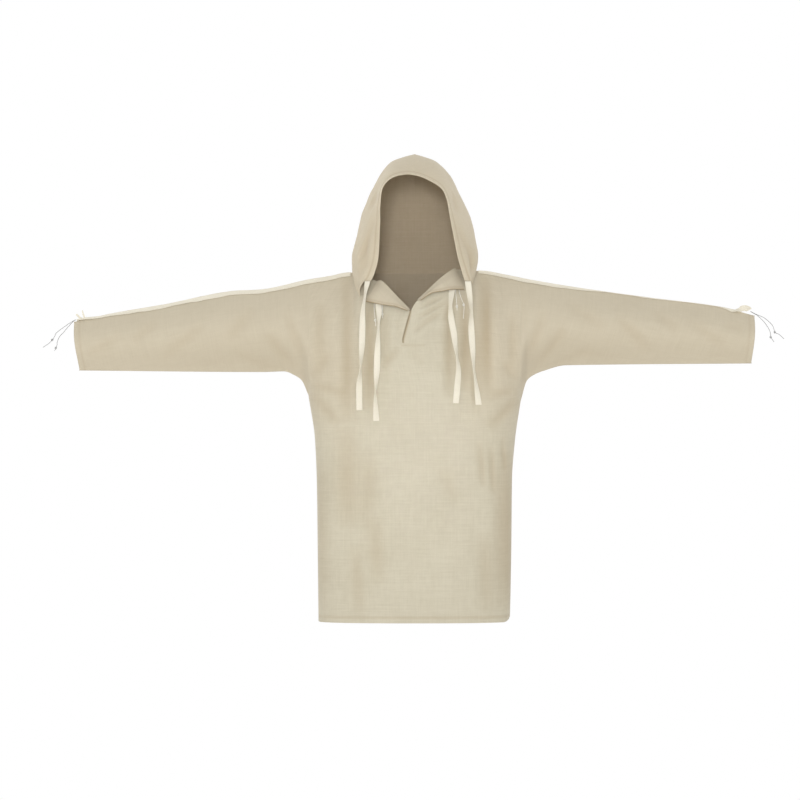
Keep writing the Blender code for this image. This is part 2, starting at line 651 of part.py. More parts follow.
# Each: where its knot is along it, and points (x, y, z). A neck cord's y is its lift instead.
CUFF_CORDS = {
    "cord_cuff_right_a": (0.070, ((-0.7448, -0.0022, -0.0986), (-0.7500, -0.0022, -0.1006),
                                  (-0.7632, -0.0020, -0.1090), (-0.7777, -0.0010, -0.1192),
                                  (-0.7887, -0.0020, -0.1287), (-0.7927, -0.0030, -0.1379),
                                  (-0.8030, -0.0030, -0.1496), (-0.8173, -0.0020, -0.1591))),
    "cord_cuff_right_b": (0.079, ((-0.7448, 0.0022, -0.0986), (-0.7500, 0.0022, -0.1010),
                                  (-0.7614, 0.0030, -0.1133), (-0.7724, 0.0030, -0.1261),
                                  (-0.7817, 0.0020, -0.1364), (-0.7861, 0.0030, -0.1481),
                                  (-0.7869, 0.0035, -0.1549), (-0.7920, 0.0030, -0.1668))),
    "cord_cuff_left_a": (0.074, ((0.7390, -0.0022, -0.0800), (0.7524, -0.0022, -0.0868),
                                 (0.7685, -0.0020, -0.0939), (0.7819, -0.0010, -0.1049),
                                 (0.7887, -0.0020, -0.1133), (0.7929, -0.0030, -0.1261),
                                 (0.8023, -0.0030, -0.1311), (0.8125, -0.0020, -0.1404))),
    "cord_cuff_left_b": (0.076, ((0.7390, 0.0022, -0.0800), (0.7524, 0.0022, -0.0878),
                                 (0.7590, 0.0025, -0.0931), (0.7685, 0.0030, -0.1023),
                                 (0.7786, 0.0025, -0.1166), (0.7836, 0.0030, -0.1287),
                                 (0.7839, 0.0035, -0.1362), (0.7913, 0.0030, -0.1472))),
}
NECK_CORDS = {
    "cord_neck_left_a": (0.043, ((0.0900, 0.0030, -0.0300), (0.0894, 0.0035, -0.0381),
                                 (0.0911, 0.0040, -0.0577), (0.0922, 0.0040, -0.0733),
                                 (0.0925, 0.0035, -0.0800))),
    "cord_neck_left_b": (0.040, ((0.0965, 0.0030, -0.0300), (0.0972, 0.0035, -0.0381),
                                 (0.1017, 0.0040, -0.0533), (0.1072, 0.0040, -0.0679),
                                 (0.1072, 0.0040, -0.0820), (0.1061, 0.0035, -0.0979))),
    "cord_neck_right_a": (0.028, ((-0.0700, 0.0030, -0.0610), (-0.0702, 0.0035, -0.0700),
                                  (-0.0702, 0.0035, -0.0879), (-0.0698, 0.0030, -0.0970))),
    "cord_neck_right_b": (0.043, ((-0.0885, 0.0030, -0.0600), (-0.0880, 0.0030, -0.0760),
                                  (-0.0868, 0.0030, -0.0930), (-0.0850, 0.0030, -0.1050),
                                  (-0.0847, 0.0030, -0.1142))),
}
CORD_STATIONS = 7


def cord(name, collection, material):
    """A round cord; its knot is a short thick place in the same tube."""
    if name in CUFF_CORDS:
        knot_at, points = CUFF_CORDS[name]
    else:
        knot_at, points = NECK_CORDS[name]
        points = [(x, -body_depth(x, z, "front") - lift, z) for x, lift, z in points]
    fine = smooth_route(points, 200)
    along = np.concatenate([[0], np.cumsum(np.linalg.norm(np.diff(fine, axis=0), axis=1))])
    places = [(s, 1.0) for s in np.linspace(0, along[-1], CORD_STATIONS)
              if abs(s - knot_at) > 2 * KNOT_HALF_LENGTH]
    for share, size in ((-1.0, 1.0), (-0.5, KNOT_SIZE), (0.5, KNOT_SIZE), (1.0, 1.0)):
        places.append((knot_at + share * KNOT_HALF_LENGTH, size))
    places.sort()
    curve = bpy.data.curves.new(name, "CURVE")
    curve.dimensions = "3D"
    curve.bevel_depth = CORD_RADIUS
    curve.bevel_resolution = 2
    curve.use_fill_caps = True
    spline = curve.splines.new("POLY")
    spline.points.add(len(places) - 1)
    for point, (s, size) in zip(spline.points, places):
        point.co = [np.interp(s, along, fine[:, k]) for k in range(3)] + [1.0]
        point.radius = size
    return add_object(name, curve, collection, material)


def main():
    clear_scene()
    scene = bpy.context.scene
    garment = bpy.data.collections.new("hooded_smock")
    cutters = bpy.data.collections.new("cutters")
    for collection in (garment, cutters):
        scene.collection.children.link(collection)
    linen, twill, string = (make_material(finish) for finish in (LINEN, TWILL, STRING))
    front = body_panel("front", garment, linen)
    slit = front.modifiers.new("neck slit", "BOOLEAN")
    slit.operation = "DIFFERENCE"
    slit.solver = "EXACT"
    slit.object = slit_cutter(cutters)
    body_panel("back", garment, linen)
    for side in (1, -1):
        sleeve(side, garment, linen)
        hood_panel(side, garment, linen)
        lapel(side, garment, linen)
        shoulder_tape(side, garment, twill)
    for name in TAPE_TAILS:
        tape_tail(name, garment, twill)
    for name in TIES:
        tie(name, garment, twill)
    for name in (*CUFF_CORDS, *NECK_CORDS):
        cord(name, garment, string)


main()
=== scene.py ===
# %% [markdown]
# # A hooded linen smock
# The garment is built as a maker would sew it: body panels, sleeves, hood, turned-back lapels,
# twill tape along the shoulders, hanging ties and thin draw cords. The solid model gives every
# piece its place and size. Here each solid is replaced by a thin cloth shell on the same form,
# with folded hems, stitching and creases, and finished with woven materials.

# %% Load the frame
import math

import bpy
import numpy as np
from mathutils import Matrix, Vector


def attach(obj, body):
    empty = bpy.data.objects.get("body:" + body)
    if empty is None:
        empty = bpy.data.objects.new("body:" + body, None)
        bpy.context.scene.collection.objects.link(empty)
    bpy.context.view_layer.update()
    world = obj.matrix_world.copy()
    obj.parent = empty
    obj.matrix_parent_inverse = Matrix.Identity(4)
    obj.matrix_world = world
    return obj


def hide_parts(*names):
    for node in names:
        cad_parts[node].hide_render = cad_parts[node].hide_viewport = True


def add_object(name, data):
    """A new object in the scene, with the given mesh, lamp or camera."""
    made = bpy.data.objects.new(name, data)
    bpy.context.scene.collection.objects.link(made)
    return made


def select_only(obj):
    bpy.ops.object.select_all(action="DESELECT")
    bpy.context.view_layer.objects.active = obj
    obj.select_set(True)


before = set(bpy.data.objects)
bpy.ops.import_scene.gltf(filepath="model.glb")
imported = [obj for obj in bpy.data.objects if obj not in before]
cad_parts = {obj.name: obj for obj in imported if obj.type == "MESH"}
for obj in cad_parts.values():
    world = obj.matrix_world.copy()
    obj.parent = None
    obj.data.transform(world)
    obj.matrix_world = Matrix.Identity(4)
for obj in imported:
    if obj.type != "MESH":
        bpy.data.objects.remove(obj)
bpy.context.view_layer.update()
bpy.ops.object.select_all(action="DESELECT")

# %% [markdown]
# ## Camera
# A garment laid out for a catalogue is taken from far away with a long lens, level with its
# middle, so that the sleeves don't shrink towards their ends.

# %% Camera
CAMERA_DISTANCE = 9.0
VIEW_WIDTH = 1.76            # metres across the picture, at the plane of the side seams
SENSOR = 36.0
lens = bpy.data.cameras.new("long_lens")
lens.sensor_width = SENSOR
lens.lens = SENSOR * CAMERA_DISTANCE / VIEW_WIDTH
camera = add_object("camera", lens)
camera.location = (-0.0319, -CAMERA_DISTANCE, -0.275)
camera.rotation_euler = (math.radians(90), 0.0, 0.0)
bpy.context.scene.camera = camera
bpy.context.scene.view_settings.view_transform = "Standard"
print("lens:", round(lens.lens, 1), "mm")

# %% [markdown]
# ## Light and floor
# Soft light from everywhere, a large lamp in front, a weak one on the left and two behind show
# the weave without hard shadows. Two narrow lamps lift the chest and the inside of the hood a
# little. The floor is one big pale plane, well below the hem, where it would be under a standing
# wearer. The camera sees it and the air plain white, and the light that they throw on the
# cloth is a little warmer.

# %% Light and floor
FLOOR_Z = -1.36
AMBIENT = 0.71
bpy.ops.mesh.primitive_plane_add(size=80.0, location=(0.0, 0.0, FLOOR_Z))
floor = bpy.context.object
floor.name = "floor"

world = bpy.data.worlds.new("studio")
bpy.context.scene.world = world
world.use_nodes = True
air = world.node_tree
air.nodes.clear()
seen = air.nodes.new("ShaderNodeBackground")
seen.inputs["Color"].default_value = (1.0, 1.0, 1.0, 1.0)
seen.inputs["Strength"].default_value = 1.0
shining = air.nodes.new("ShaderNodeBackground")
shining.inputs["Color"].default_value = (1.0, 0.985, 0.95, 1.0)
shining.inputs["Strength"].default_value = AMBIENT
rays = air.nodes.new("ShaderNodeLightPath")
either = air.nodes.new("ShaderNodeMixShader")
sky = air.nodes.new("ShaderNodeOutputWorld")
air.links.new(rays.outputs["Is Camera Ray"], either.inputs[0])
air.links.new(shining.outputs[0], either.inputs[1])
air.links.new(seen.outputs[0], either.inputs[2])
air.links.new(either.outputs[0], sky.inputs["Surface"])


def lamp(name, place, aim, width, watts, colour=(1.0, 1.0, 1.0)):
    """A square soft lamp that looks at a point."""
    light = bpy.data.lights.new(name, "AREA")
    light.size = width
    light.energy = watts
    light.color = colour
    holder = add_object(name, light)
    holder.location = place
    holder.rotation_euler = (Vector(aim) - Vector(place)).to_track_quat("-Z", "Y").to_euler()
    return holder


lamp("key", (-0.6, -9.6, 0.9), (0.0, 0.0, -0.25), 1.6, 305.0, (0.98, 0.99, 1.0))
lamp("side", (-5.0, -3.0, 1.2), (0.0, 0.0, -0.25), 1.6, 9.0, (1.0, 0.98, 0.95))
pool = lamp("pool", (-0.1, -4.0, -0.3), (0.0, 0.0, -0.38), 0.35, 0.06)
pool.data.spread = math.radians(8.0)
hood_pool = lamp("hood_pool", (0.3, -4.0, 0.0), (-0.02, 0.0, 0.18), 0.25, 0.012)
hood_pool.data.spread = math.radians(5.0)
lamp("back_left", (-3.2, 4.6, 2.0), (0.0, 0.0, -0.25), 2.6, 110.0)
lamp("back_right", (3.2, 4.6, 2.0), (0.0, 0.0, -0.25), 2.6, 90.0)
print("lamps:", sorted(bpy.data.lights.keys()))

# %% [markdown]
# ## Shader sums
# A node tree is easier to read as a formula. `Wire` wraps one output socket: sums and products
# of wires add Math nodes, and `node` adds any other node from its settings and inputs.

# %% Shader helper
class Wire:
    """One output socket of a material's tree."""

    def __init__(self, tree, socket=None):
        self.tree, self.socket = tree, socket

    def node(self, kind, settings=(), sockets=(), out=0):
        made = self.tree.nodes.new(kind)
        for key, value in dict(settings).items():
            if key == "stops":
                ends = made.color_ramp.elements
                for spare in range(len(value) - len(ends)):
                    ends.new(0.5)
                for stop, (place, colour) in zip(ends, value):
                    stop.position, stop.color = place, colour
            else:
                setattr(made, key, value)
        for key, value in dict(sockets).items():
            if isinstance(value, Wire):
                self.tree.links.new(value.socket, made.inputs[key])
            else:
                made.inputs[key].default_value = value
        return Wire(self.tree, made.outputs[out])

    def maths(self, operation, first, second=0.0):
        return self.node("ShaderNodeMath", {"operation": operation}, {0: first, 1: second})

    def __add__(self, other):
        return self.maths("ADD", self, other)

    def __sub__(self, other):
        return self.maths("SUBTRACT", self, other)

    def __mul__(self, other):
        return self.maths("MULTIPLY", self, other)

    def __rsub__(self, other):
        return self.maths("SUBTRACT", other, self)

    __radd__, __rmul__ = __add__, __mul__

    def sine(self):
        return self.maths("SINE", self)

    def size(self):
        return self.maths("ABSOLUTE", self)

    def clipped(self, low, high):
        """0 below low, 1 above high, smooth between."""
        return self.node("ShaderNodeMapRange", {"interpolation_type": "SMOOTHSTEP"},
                         {"Value": self, "From Min": low, "From Max": high})

    def tinted(self, dark, light):
        """A colour from dark at 0 to light at 1."""
        return self.node("ShaderNodeMix", {"data_type": "RGBA"},
                         {"Factor": self, 6: (*dark, 1.0), 7: (*light, 1.0)}, out=2)

    def over(self, below, above):
        """Colour below where this is 0, and colour above where it is 1."""
        return self.node("ShaderNodeMix", {"data_type": "RGBA"},
                         {"Factor": self, 6: below, 7: above}, out=2)


def new_finish(name, roughness, sheen=0.0):
    """A material with its shader, and a wire to start its formulas from."""
    material = bpy.data.materials.new(name)
    material.use_nodes = True
    tree = material.node_tree
    shader = tree.nodes["Principled BSDF"]
    shader.inputs["Roughness"].default_value = roughness
    shader.inputs["Specular IOR Level"].default_value = 0.25
    shader.inputs["Sheen Weight"].default_value = sheen
    shader.inputs["Sheen Roughness"].default_value = 0.5
    return material, shader, Wire(tree)


def connect(shader, name, wire):
    wire.tree.links.new(wire.socket, shader.inputs[name])


def raised(height, depth, strength=1.0):
    return height.node("ShaderNodeBump", {}, {"Height": height, "Distance": depth,
                                              "Strength": strength})


floor_finish, shader, start = new_finish("pale_floor", 0.9)
shader.inputs["Base Color"].default_value = (0.86, 0.84, 0.81, 1.0)
lit = start.node("ShaderNodeEmission", {}, {"Color": (1.0, 1.0, 1.0, 1.0), "Strength": 1.0})
straight = start.node("ShaderNodeLightPath")         # output 0 is 1 for what the camera sees
white = start.node("ShaderNodeMixShader", {}, {0: straight, 2: lit})
white.tree.links.new(shader.outputs[0], white.socket.node.inputs[1])
white.tree.links.new(white.socket, white.tree.nodes["Material Output"].inputs["Surface"])
floor.data.materials.append(floor_finish)

# %% [markdown]
# ## Linen
# Natural linen is a plain weave of uneven yarn: thick places, called slubs, run along single
# threads both ways, and the cloth is a little cloudy in colour. The pattern is drawn on the
# cloth's own UV map, which is in metres, so the threads follow each panel's grain.

# %% Linen
THREAD = 0.00085             # distance between two threads
FOLD_SHADE_TONE = (0.75, 0.64, 0.51)       # painted shade: times the dark tone, in a fold; it comes out warmer
FOLD_SHADE_MIX = 0.62
GAP_SHADOW_TONE = 0.4                       # painted shadow: times the dark tone, in the gap where an edge stands open
GAP_SHADOW_MIX = 0.75
TONE_SPREAD = 0.13                   # of the pattern's sum, each way, at a contrast of 1


def cloth_uv(start):
    """The piece's own u and v."""
    flat = start.node("ShaderNodeUVMap", {"uv_map": "cloth"})
    return [flat.node("ShaderNodeSeparateXYZ", {}, {0: flat}, out=axis) for axis in (0, 1)]


def cloth_place(start, across=1.0, along=1.0, shift=0.0):
    """The place on the cloth, stretched: a big number makes the pattern fine that way."""
    flat = start.node("ShaderNodeUVMap", {"uv_map": "cloth"})
    return flat.node("ShaderNodeMapping", {}, {0: flat, "Location": (shift, shift * 0.7, shift),
                                               "Scale": (across, along, 1.0)})


def noise(place, detail=2.0, roughness=0.55):
    return place.node("ShaderNodeTexNoise", {}, {"Vector": place, "Scale": 1.0,
                                                 "Detail": detail, "Roughness": roughness})


def weave(start, pitch):
    """Over and under of a plain weave, from 0 to 1."""
    u, v = cloth_uv(start)
    return (u * (math.pi / pitch)).sine() * (v * (math.pi / pitch)).sine() * 0.5 + 0.5


def linen(name, dark, light, slub_tone, shift, contrast=1.0, shade=(1.0, 1.0, 1.0),
          shoulder=None):
    """Linen between two tones, each times shade, a factor that paints this copy of the linen
    lighter or darker for the light on it. shift moves the pattern, and shoulder gives two other
    tones for the body's upper corners."""
    dark, light, slub_tone = (tuple(c * k for c, k in zip(tone, shade))
                              for tone in (dark, light, slub_tone))
    material, shader, start = new_finish(name, 0.88, sheen=0.12)
    weft = noise(cloth_place(start, 22.0, 620.0, shift), 3.0)
    warp = noise(cloth_place(start, 620.0, 22.0, shift + 3.0), 3.0)
    long_weft = noise(cloth_place(start, 7.0, 260.0, shift + 5.0), 2.0)
    long_warp = noise(cloth_place(start, 260.0, 7.0, shift + 7.0), 2.0)
    cloud = noise(cloth_place(start, 9.0, 9.0, shift + 11.0), 3.0, 0.5)
    patch = noise(cloth_place(start, 75.0, 55.0, shift + 13.0), 3.0, 0.6)
    threads = weave(start, THREAD)
    tone = (weft * 0.22 + warp * 0.16 + long_weft * 0.15 + long_warp * 0.12 + cloud * 0.2
            + patch * 0.15)
    tone = tone.clipped(0.5 - TONE_SPREAD / contrast, 0.5 + TONE_SPREAD / contrast)
    base = tone.tinted(dark, light)
    if shoulder is not None:        # the tone drifts warmer in the body's upper corners
        u, v = cloth_uv(start)
        corner = u.size().clipped(0.05, 0.18) * v.clipped(0.36, 0.6)
        base = corner.over(base, tone.tinted(*shoulder))
    slubs = (noise(cloth_place(start, 30.0, 800.0, shift + 17.0), 1.0).clipped(0.66, 0.78)
             + noise(cloth_place(start, 800.0, 30.0, shift + 19.0), 1.0).clipped(0.7, 0.8) * 0.6)
    shaded = (slubs * 0.35).over(base, (*slub_tone, 1.0))
    # Painted shade: the fold attribute darkens the cloth to a warmer tone in its folds.
    fold = start.node("ShaderNodeAttribute", {"attribute_name": "fold"}, out=2)
    fold_shade_colour = tuple(c * k for c, k in zip(dark, FOLD_SHADE_TONE)) + (1.0,)
    shaded = (fold * FOLD_SHADE_MIX).over(shaded, fold_shade_colour)
    # Painted shadow: where the value passes 1, in the gap at an open edge, the cloth goes darker
    # still.
    gap = (fold - 1.0).clipped(0.0, 1.0) * GAP_SHADOW_MIX
    shaded = gap.over(shaded, tuple(c * GAP_SHADOW_TONE for c in dark) + (1.0,))
    connect(shader, "Base Color", shaded)
    height = threads * 0.5 + weft * 0.5 + warp * 0.4 + slubs * 0.5
    connect(shader, "Normal", raised(height, 0.0005, 0.55))
    return material


SLEEVE_TONES = ((0.555, 0.494, 0.38), (0.622, 0.562, 0.444), (0.5, 0.44, 0.33))
linen_cloth = linen("natural_linen", (0.536, 0.493, 0.386), (0.618, 0.577, 0.466),
                    (0.488, 0.44, 0.335), 0.0, shoulder=SLEEVE_TONES[:2])
sleeve_cloth = linen("sleeve_linen", *SLEEVE_TONES, 31.0, contrast=0.6)
# The hood's linen is the sleeve linen painted a little lighter: painted light on the hood.
hood_cloth_painted_light = linen("hood_linen_painted_light", *SLEEVE_TONES, 37.0, contrast=0.6, shade=(1.06, 1.05, 1.035))
# The inner faces' linen is painted darker and browner: painted shade for the inside of the hood and
# the neck.
wrong_side_painted_shade = linen("linen_wrong_side_painted_shade", *SLEEVE_TONES, 41.0, shade=(0.84, 0.785, 0.735))
print("linen nodes:", len(linen_cloth.node_tree.nodes))

# %% [markdown]
# ## Tape, cord and thread
# The ties are ivory cotton tape in a fine herringbone. The draw cords are twisted cotton, grey
# at the cuffs and white at the neck, and the sewing thread has the linen's own colour.

# %% Tape, cord and thread
TAPE_RIB = 0.0011
CORD_LAY = 0.0035            # along the cord, from one strand to the next
CORD_STRANDS = 3


def twill(name, dark, light):
    material, shader, start = new_finish(name, 0.82, sheen=0.15)
    u, v = cloth_uv(start)
    slant = (u.size() + v) * (2 * math.pi / TAPE_RIB)
    ribs = slant.sine() * 0.5 + 0.5
    fine = noise(cloth_place(start, 900.0, 300.0, 2.0), 2.0)
    cloud = noise(cloth_place(start, 30.0, 12.0, 4.0), 2.0)
    tone = ribs * 0.3 + fine * 0.4 + cloud * 0.3
    connect(shader, "Base Color", tone.clipped(0.25, 0.75).tinted(dark, light))
    connect(shader, "Normal", raised(ribs * 0.6 + fine * 0.4, 0.0003, 0.5))
    return material


tape_cloth = twill("ivory_twill", (0.76, 0.715, 0.6), (0.87, 0.83, 0.72))


def twisted_cotton(name, dark, light):
    material, shader, start = new_finish(name, 0.8, sheen=0.1)
    u, v = cloth_uv(start)
    strands = (u * (2 * math.pi * CORD_STRANDS) + v * (2 * math.pi / CORD_LAY)).sine() * 0.5 + 0.5
    # Painted shade: dark in the grooves between the strands, light on the strands.
    connect(shader, "Base Color", strands.tinted(dark, light))
    connect(shader, "Normal", raised(strands, 0.0003, 0.8))
    return material


cuff_cord_finish = twisted_cotton("grey_cotton", (0.16, 0.16, 0.17), (0.55, 0.55, 0.55))
neck_cord_finish = twisted_cotton("white_cotton", (0.82, 0.79, 0.75), (1.0, 1.0, 0.97))

thread_finish, shader, start = new_finish("sewing_thread", 0.7)
shader.inputs["Base Color"].default_value = (0.56, 0.5, 0.38, 1.0)
print("finishes:", sorted(bpy.data.materials.keys()))

# %% [markdown]
# ## Lines through points
# Every outline of the garment is a smooth line through a few measured points. `smooth_between`
# never overshoots, which suits outlines; `smooth_route` spaces points evenly along a free curve.

# %% Smooth lines
def smooth_between(points, at):
    x = np.array([p[0] for p in points])
    y = np.array([p[1] for p in points])
    width = np.diff(x)
    steps = np.diff(y) / width
    product = steps[:-1] * steps[1:]
    total = np.where(product > 0, steps[:-1] + steps[1:], 1.0)
    inner = np.where(product > 0, 2 * product / total, 0.0)
    slopes = np.concatenate([[steps[0]], inner, [steps[-1]]])
    at = np.clip(at, x[0], x[-1])
    i = np.clip(np.searchsorted(x, at, side="right") - 1, 0, len(width) - 1)
    t = (at - x[i]) / width[i]
    return (y[i] * (1 + 2 * t) * (1 - t) ** 2 + slopes[i] * width[i] * t * (1 - t) ** 2
            + y[i + 1] * t * t * (3 - 2 * t) + slopes[i + 1] * width[i] * t * t * (t - 1))


def smooth_route(points, count):
    p = np.array(points, float)
    p = np.vstack([2 * p[0] - p[1], p, 2 * p[-1] - p[-2]])
    t = np.linspace(0, 1, 24, endpoint=False)[:, None]
    runs = [0.5 * (2 * b + (c - a) * t + (2 * a - 5 * b + 4 * c - d) * t * t
                   + (3 * b - a - 3 * c + d) * t ** 3) for a, b, c, d in zip(p, p[1:], p[2:], p[3:])]
    fine = np.vstack(runs + [p[-2:-1]])
    along = run_along(fine)
    at = np.linspace(0, along[-1], count)
    return np.stack([np.interp(at, along, fine[:, k]) for k in range(fine.shape[1])], axis=1)


def run_along(points):
    """The distance along a line to each of its points."""
    return np.concatenate([[0], np.cumsum(np.linalg.norm(np.diff(points, axis=0), axis=1))])


def unit(vector):
    return vector / np.linalg.norm(vector)


def bell(away, width):
    """1 on a line, falling to almost nothing at two widths from it."""
    return np.exp(-(away / width) ** 2)


def smooth_step(low, high, value):
    t = np.clip((value - low) / (high - low), 0.0, 1.0)
    return t * t * (3 - 2 * t)

# %% [markdown]
# ## The garment's form
# The body is described by how deep it is, in front of and behind the side seams, at each place
# of its outline. The depth closes to a fold along the shoulders, and to seams at the sides. The
# same few sizes as in the solid model drive it, so that the cloth fits the solids.

# %% Sizes and outlines
HEM_Z = -0.761
CHEST_DEPTH = {"front": 0.105, "back": 0.1}
HEM_DEPTH = {"front": 0.085, "back": 0.085}
SIDE_POWER = 2.4
ARMHOLE_X = 0.2334
ARMHOLE_DEPTH = 0.078
TOP_POWER = 3.4
RIDGE_POWER = 1.12
NECK_HALF_WIDTH = 0.132
NECK_DEPTH = {"front": 0.098, "back": 0.074}
BACK_NECK_Z = 0.005
SLIT_TOP = (-0.0092, -0.0822)
SLIT_END = (-0.0258, -0.1522)
FACING = {"front": -1, "back": 1}
SIDE_NAME = {1: "left", -1: "right"}
LINEN_WALL = 0.0008
HEM_INSET = 0.0115           # of a hem's stitches from its edge
STITCH_DIP = 0.0005
STITCH_DIP_WIDTH = 0.0014
HEM_TONE_WIDTH = 0.0022

SHOULDER = {
    1: ((0.12, 0.0095), (0.15, 0.0085), (0.201, 0.0), (0.254, -0.011), (0.36, -0.0286),
        (0.518, -0.0506), (0.677, -0.0712), (0.747, -0.0893)),
    -1: ((0.12, 0.0065), (0.15, 0.0045), (0.182, -0.0022), (0.234, -0.011), (0.34, -0.0328),
         (0.393, -0.0355), (0.551, -0.0655), (0.657, -0.0836), (0.748, -0.103)),
}
UNDERARM = {
    1: ((0.2334, -0.278), (0.2475, -0.232), (0.264, -0.219), (0.285, -0.2105),
        (0.3333, -0.1985), (0.74, -0.1945)),
    -1: ((0.2334, -0.264), (0.248, -0.232), (0.262, -0.2215), (0.287, -0.212),
         (0.3355, -0.2134), (0.736, -0.21)),
}
SIDE_SEAM = {
    1: ((HEM_Z, 0.2101), (-0.6, 0.213), (-0.451, 0.2145), (-0.363, 0.2211),
        (-0.278, ARMHOLE_X)),
    -1: ((HEM_Z, 0.2112), (-0.6, 0.213), (-0.473, 0.2145), (-0.363, 0.2189),
         (-0.264, ARMHOLE_X)),
}
FRONT_NECK = {
    1: ((0.0018, -0.0632), (0.0262, -0.0408), (0.0595, -0.0094), (0.0835, 0.008),
        (0.0911, 0.0102), (0.132, 0.0092)),
    -1: ((0.0092, -0.0822), (0.0384, -0.0521), (0.0685, -0.0201), (0.0813, -0.016),
         (0.1, -0.008), (0.132, 0.0056)),
}
CUFF_TOP = {1: 0.747, -1: 0.748}
CUFF_BOTTOM = {1: 0.74, -1: 0.736}
CUFF_BULGE = {1: 0.003, -1: 0.004}
SLEEVE_DEPTH = ((ARMHOLE_X, ARMHOLE_DEPTH), (0.262, 0.069), (0.3, 0.062), (0.36, 0.056),
                (0.48, 0.05), (0.62, 0.042), (0.745, 0.031))


# %% Depth of the body and the sleeves
def by_side(table, x):
    return np.where(x >= 0, smooth_between(table[1], abs(x)), smooth_between(table[-1], abs(x)))


def armpit_z(x):
    right, left = UNDERARM[-1][0][1], UNDERARM[1][0][1]
    return right + (left - right) * (x + ARMHOLE_X) / (2 * ARMHOLE_X)


def half_width(z, x):
    return np.where(x >= 0, smooth_between(SIDE_SEAM[1], z), smooth_between(SIDE_SEAM[-1], z))


def top_z(x, face):
    """The shoulder line, or the edge of the neck opening."""
    shoulder = by_side(SHOULDER, x)
    if face == "back":
        side_z = by_side(SHOULDER, np.where(x >= 0, NECK_HALF_WIDTH, -NECK_HALF_WIDTH))
        neck = BACK_NECK_Z + (side_z - BACK_NECK_Z) * (abs(x) / NECK_HALF_WIDTH) ** 2
    else:
        right_of_slit = (SLIT_TOP,) + FRONT_NECK[1]
        neck = np.where(x < SLIT_TOP[0], smooth_between(FRONT_NECK[-1], -x),
                        smooth_between(right_of_slit, x))
    return np.where(abs(x) >= NECK_HALF_WIDTH, shoulder, neck)


def neck_reach(x, face):
    return NECK_DEPTH[face] * np.maximum(0.0, 1 - (x / NECK_HALF_WIDTH) ** 2) ** 0.65


def closing(w):
    return np.maximum(0.0, 1 - w ** TOP_POWER) ** RIDGE_POWER


def opening_out(w):
    return np.sin(np.minimum(w / 0.5, 1.0) * math.pi / 2) ** RIDGE_POWER


def upper_depth(x, w, face):
    reach, chest = neck_reach(x, face), CHEST_DEPTH[face]
    depth = reach + (chest - reach) * closing(w)
    share = ARMHOLE_DEPTH / chest * opening_out(w)
    virtual_half = ARMHOLE_X / (1 - share ** SIDE_POWER) ** (1 / SIDE_POWER)
    return depth * np.maximum(0.0, 1 - (abs(x) / virtual_half) ** SIDE_POWER) ** (1 / SIDE_POWER)


def lower_depth(x, z, face):
    share = (z - HEM_Z) / (armpit_z(x) - HEM_Z)
    middle = HEM_DEPTH[face] + (CHEST_DEPTH[face] - HEM_DEPTH[face]) * np.maximum(share, 0) ** 1.5
    across = np.minimum(1.0, abs(x) / half_width(z, x))
    return middle * (1 - across ** SIDE_POWER) ** (1 / SIDE_POWER)


def body_depth(x, z, face):
    """Depth of the body's plain form at any place of its outline."""
    x, z = np.asarray(x, float), np.asarray(z, float)
    low, top = armpit_z(x), top_z(x, face)
    w = np.clip((z - low) / (top - low), 0.0, 1.0)
    return np.where(z <= low, lower_depth(x, np.minimum(z, low), face), upper_depth(x, w, face))


def sleeve_section(out, w):
    seam = closing(w) * opening_out(w)
    lens_shape = np.sin(math.pi * np.clip(w, 0, 1)) ** RIDGE_POWER
    along = np.minimum(1.0, np.maximum(out - ARMHOLE_X, 0) / 0.1)
    return smooth_between(SLEEVE_DEPTH, out) * (seam + (lens_shape - seam) * along)


print("chest depth:", [round(float(body_depth(0.0, -0.3, face)), 4) for face in FACING])

# %% [markdown]
# ## Folds and creases
# Cloth never lies quite smooth. Large soft troughs are given one by one: each is a stroke from one
# point to another, with a width and a depth, all in millimetres, and a negative depth makes a
# ridge. A little random waviness goes under them, from a seeded table, so that it comes out the
# same each time. A fold also darkens the cloth, through an attribute that the materials read.
# That darkening is painted shade: darker and warmer the deeper a trough is.

# %% Folds and creases
FOLD_GAIN = 1.6              # all strokes deeper by this
RIPPLES = ((0.0011, 0.085), (0.0005, 0.034), (0.00014, 0.012))       # (height, size) of each


def troughs(x, z, strokes):
    """How far strokes push the cloth in at each place, in metres. Each stroke is x0, z0, x1, z1,
    width and depth, in millimetres."""
    total = np.zeros(np.broadcast(x, z).shape)
    for x0, z0, x1, z1, width, depth in np.array(strokes) / 1000:
        dx, dz = x1 - x0, z1 - z0
        t = np.clip(((x - x0) * dx + (z - z0) * dz) / (dx * dx + dz * dz), 0.0, 1.0)
        away = np.hypot(x - (x0 + dx * t), z - (z0 + dz * t))
        total += depth * np.sin(math.pi * t) ** 0.6 * bell(away, width)
    return total * FOLD_GAIN


def waves(u, v, size, seed):
    """Smooth random hills from -1 to 1, one about every size metres."""
    table = np.random.RandomState(seed).uniform(-1, 1, (64, 64))
    a, b = u / size + 200.0, v / size + 200.0
    i, j = np.floor(a).astype(int), np.floor(b).astype(int)
    s, t = smooth_step(0, 1, a - i), smooth_step(0, 1, b - j)
    i, j, right, up = i % 64, j % 64, (i + 1) % 64, (j + 1) % 64
    low = table[i, j] * (1 - s) + table[right, j] * s
    high = table[i, up] * (1 - s) + table[right, up] * s
    return low * (1 - t) + high * t


def ripples(u, v, seed):
    """Waviness of worn linen, in metres."""
    return sum(height * waves(u, v, size, seed + k) for k, (height, size) in enumerate(RIPPLES))


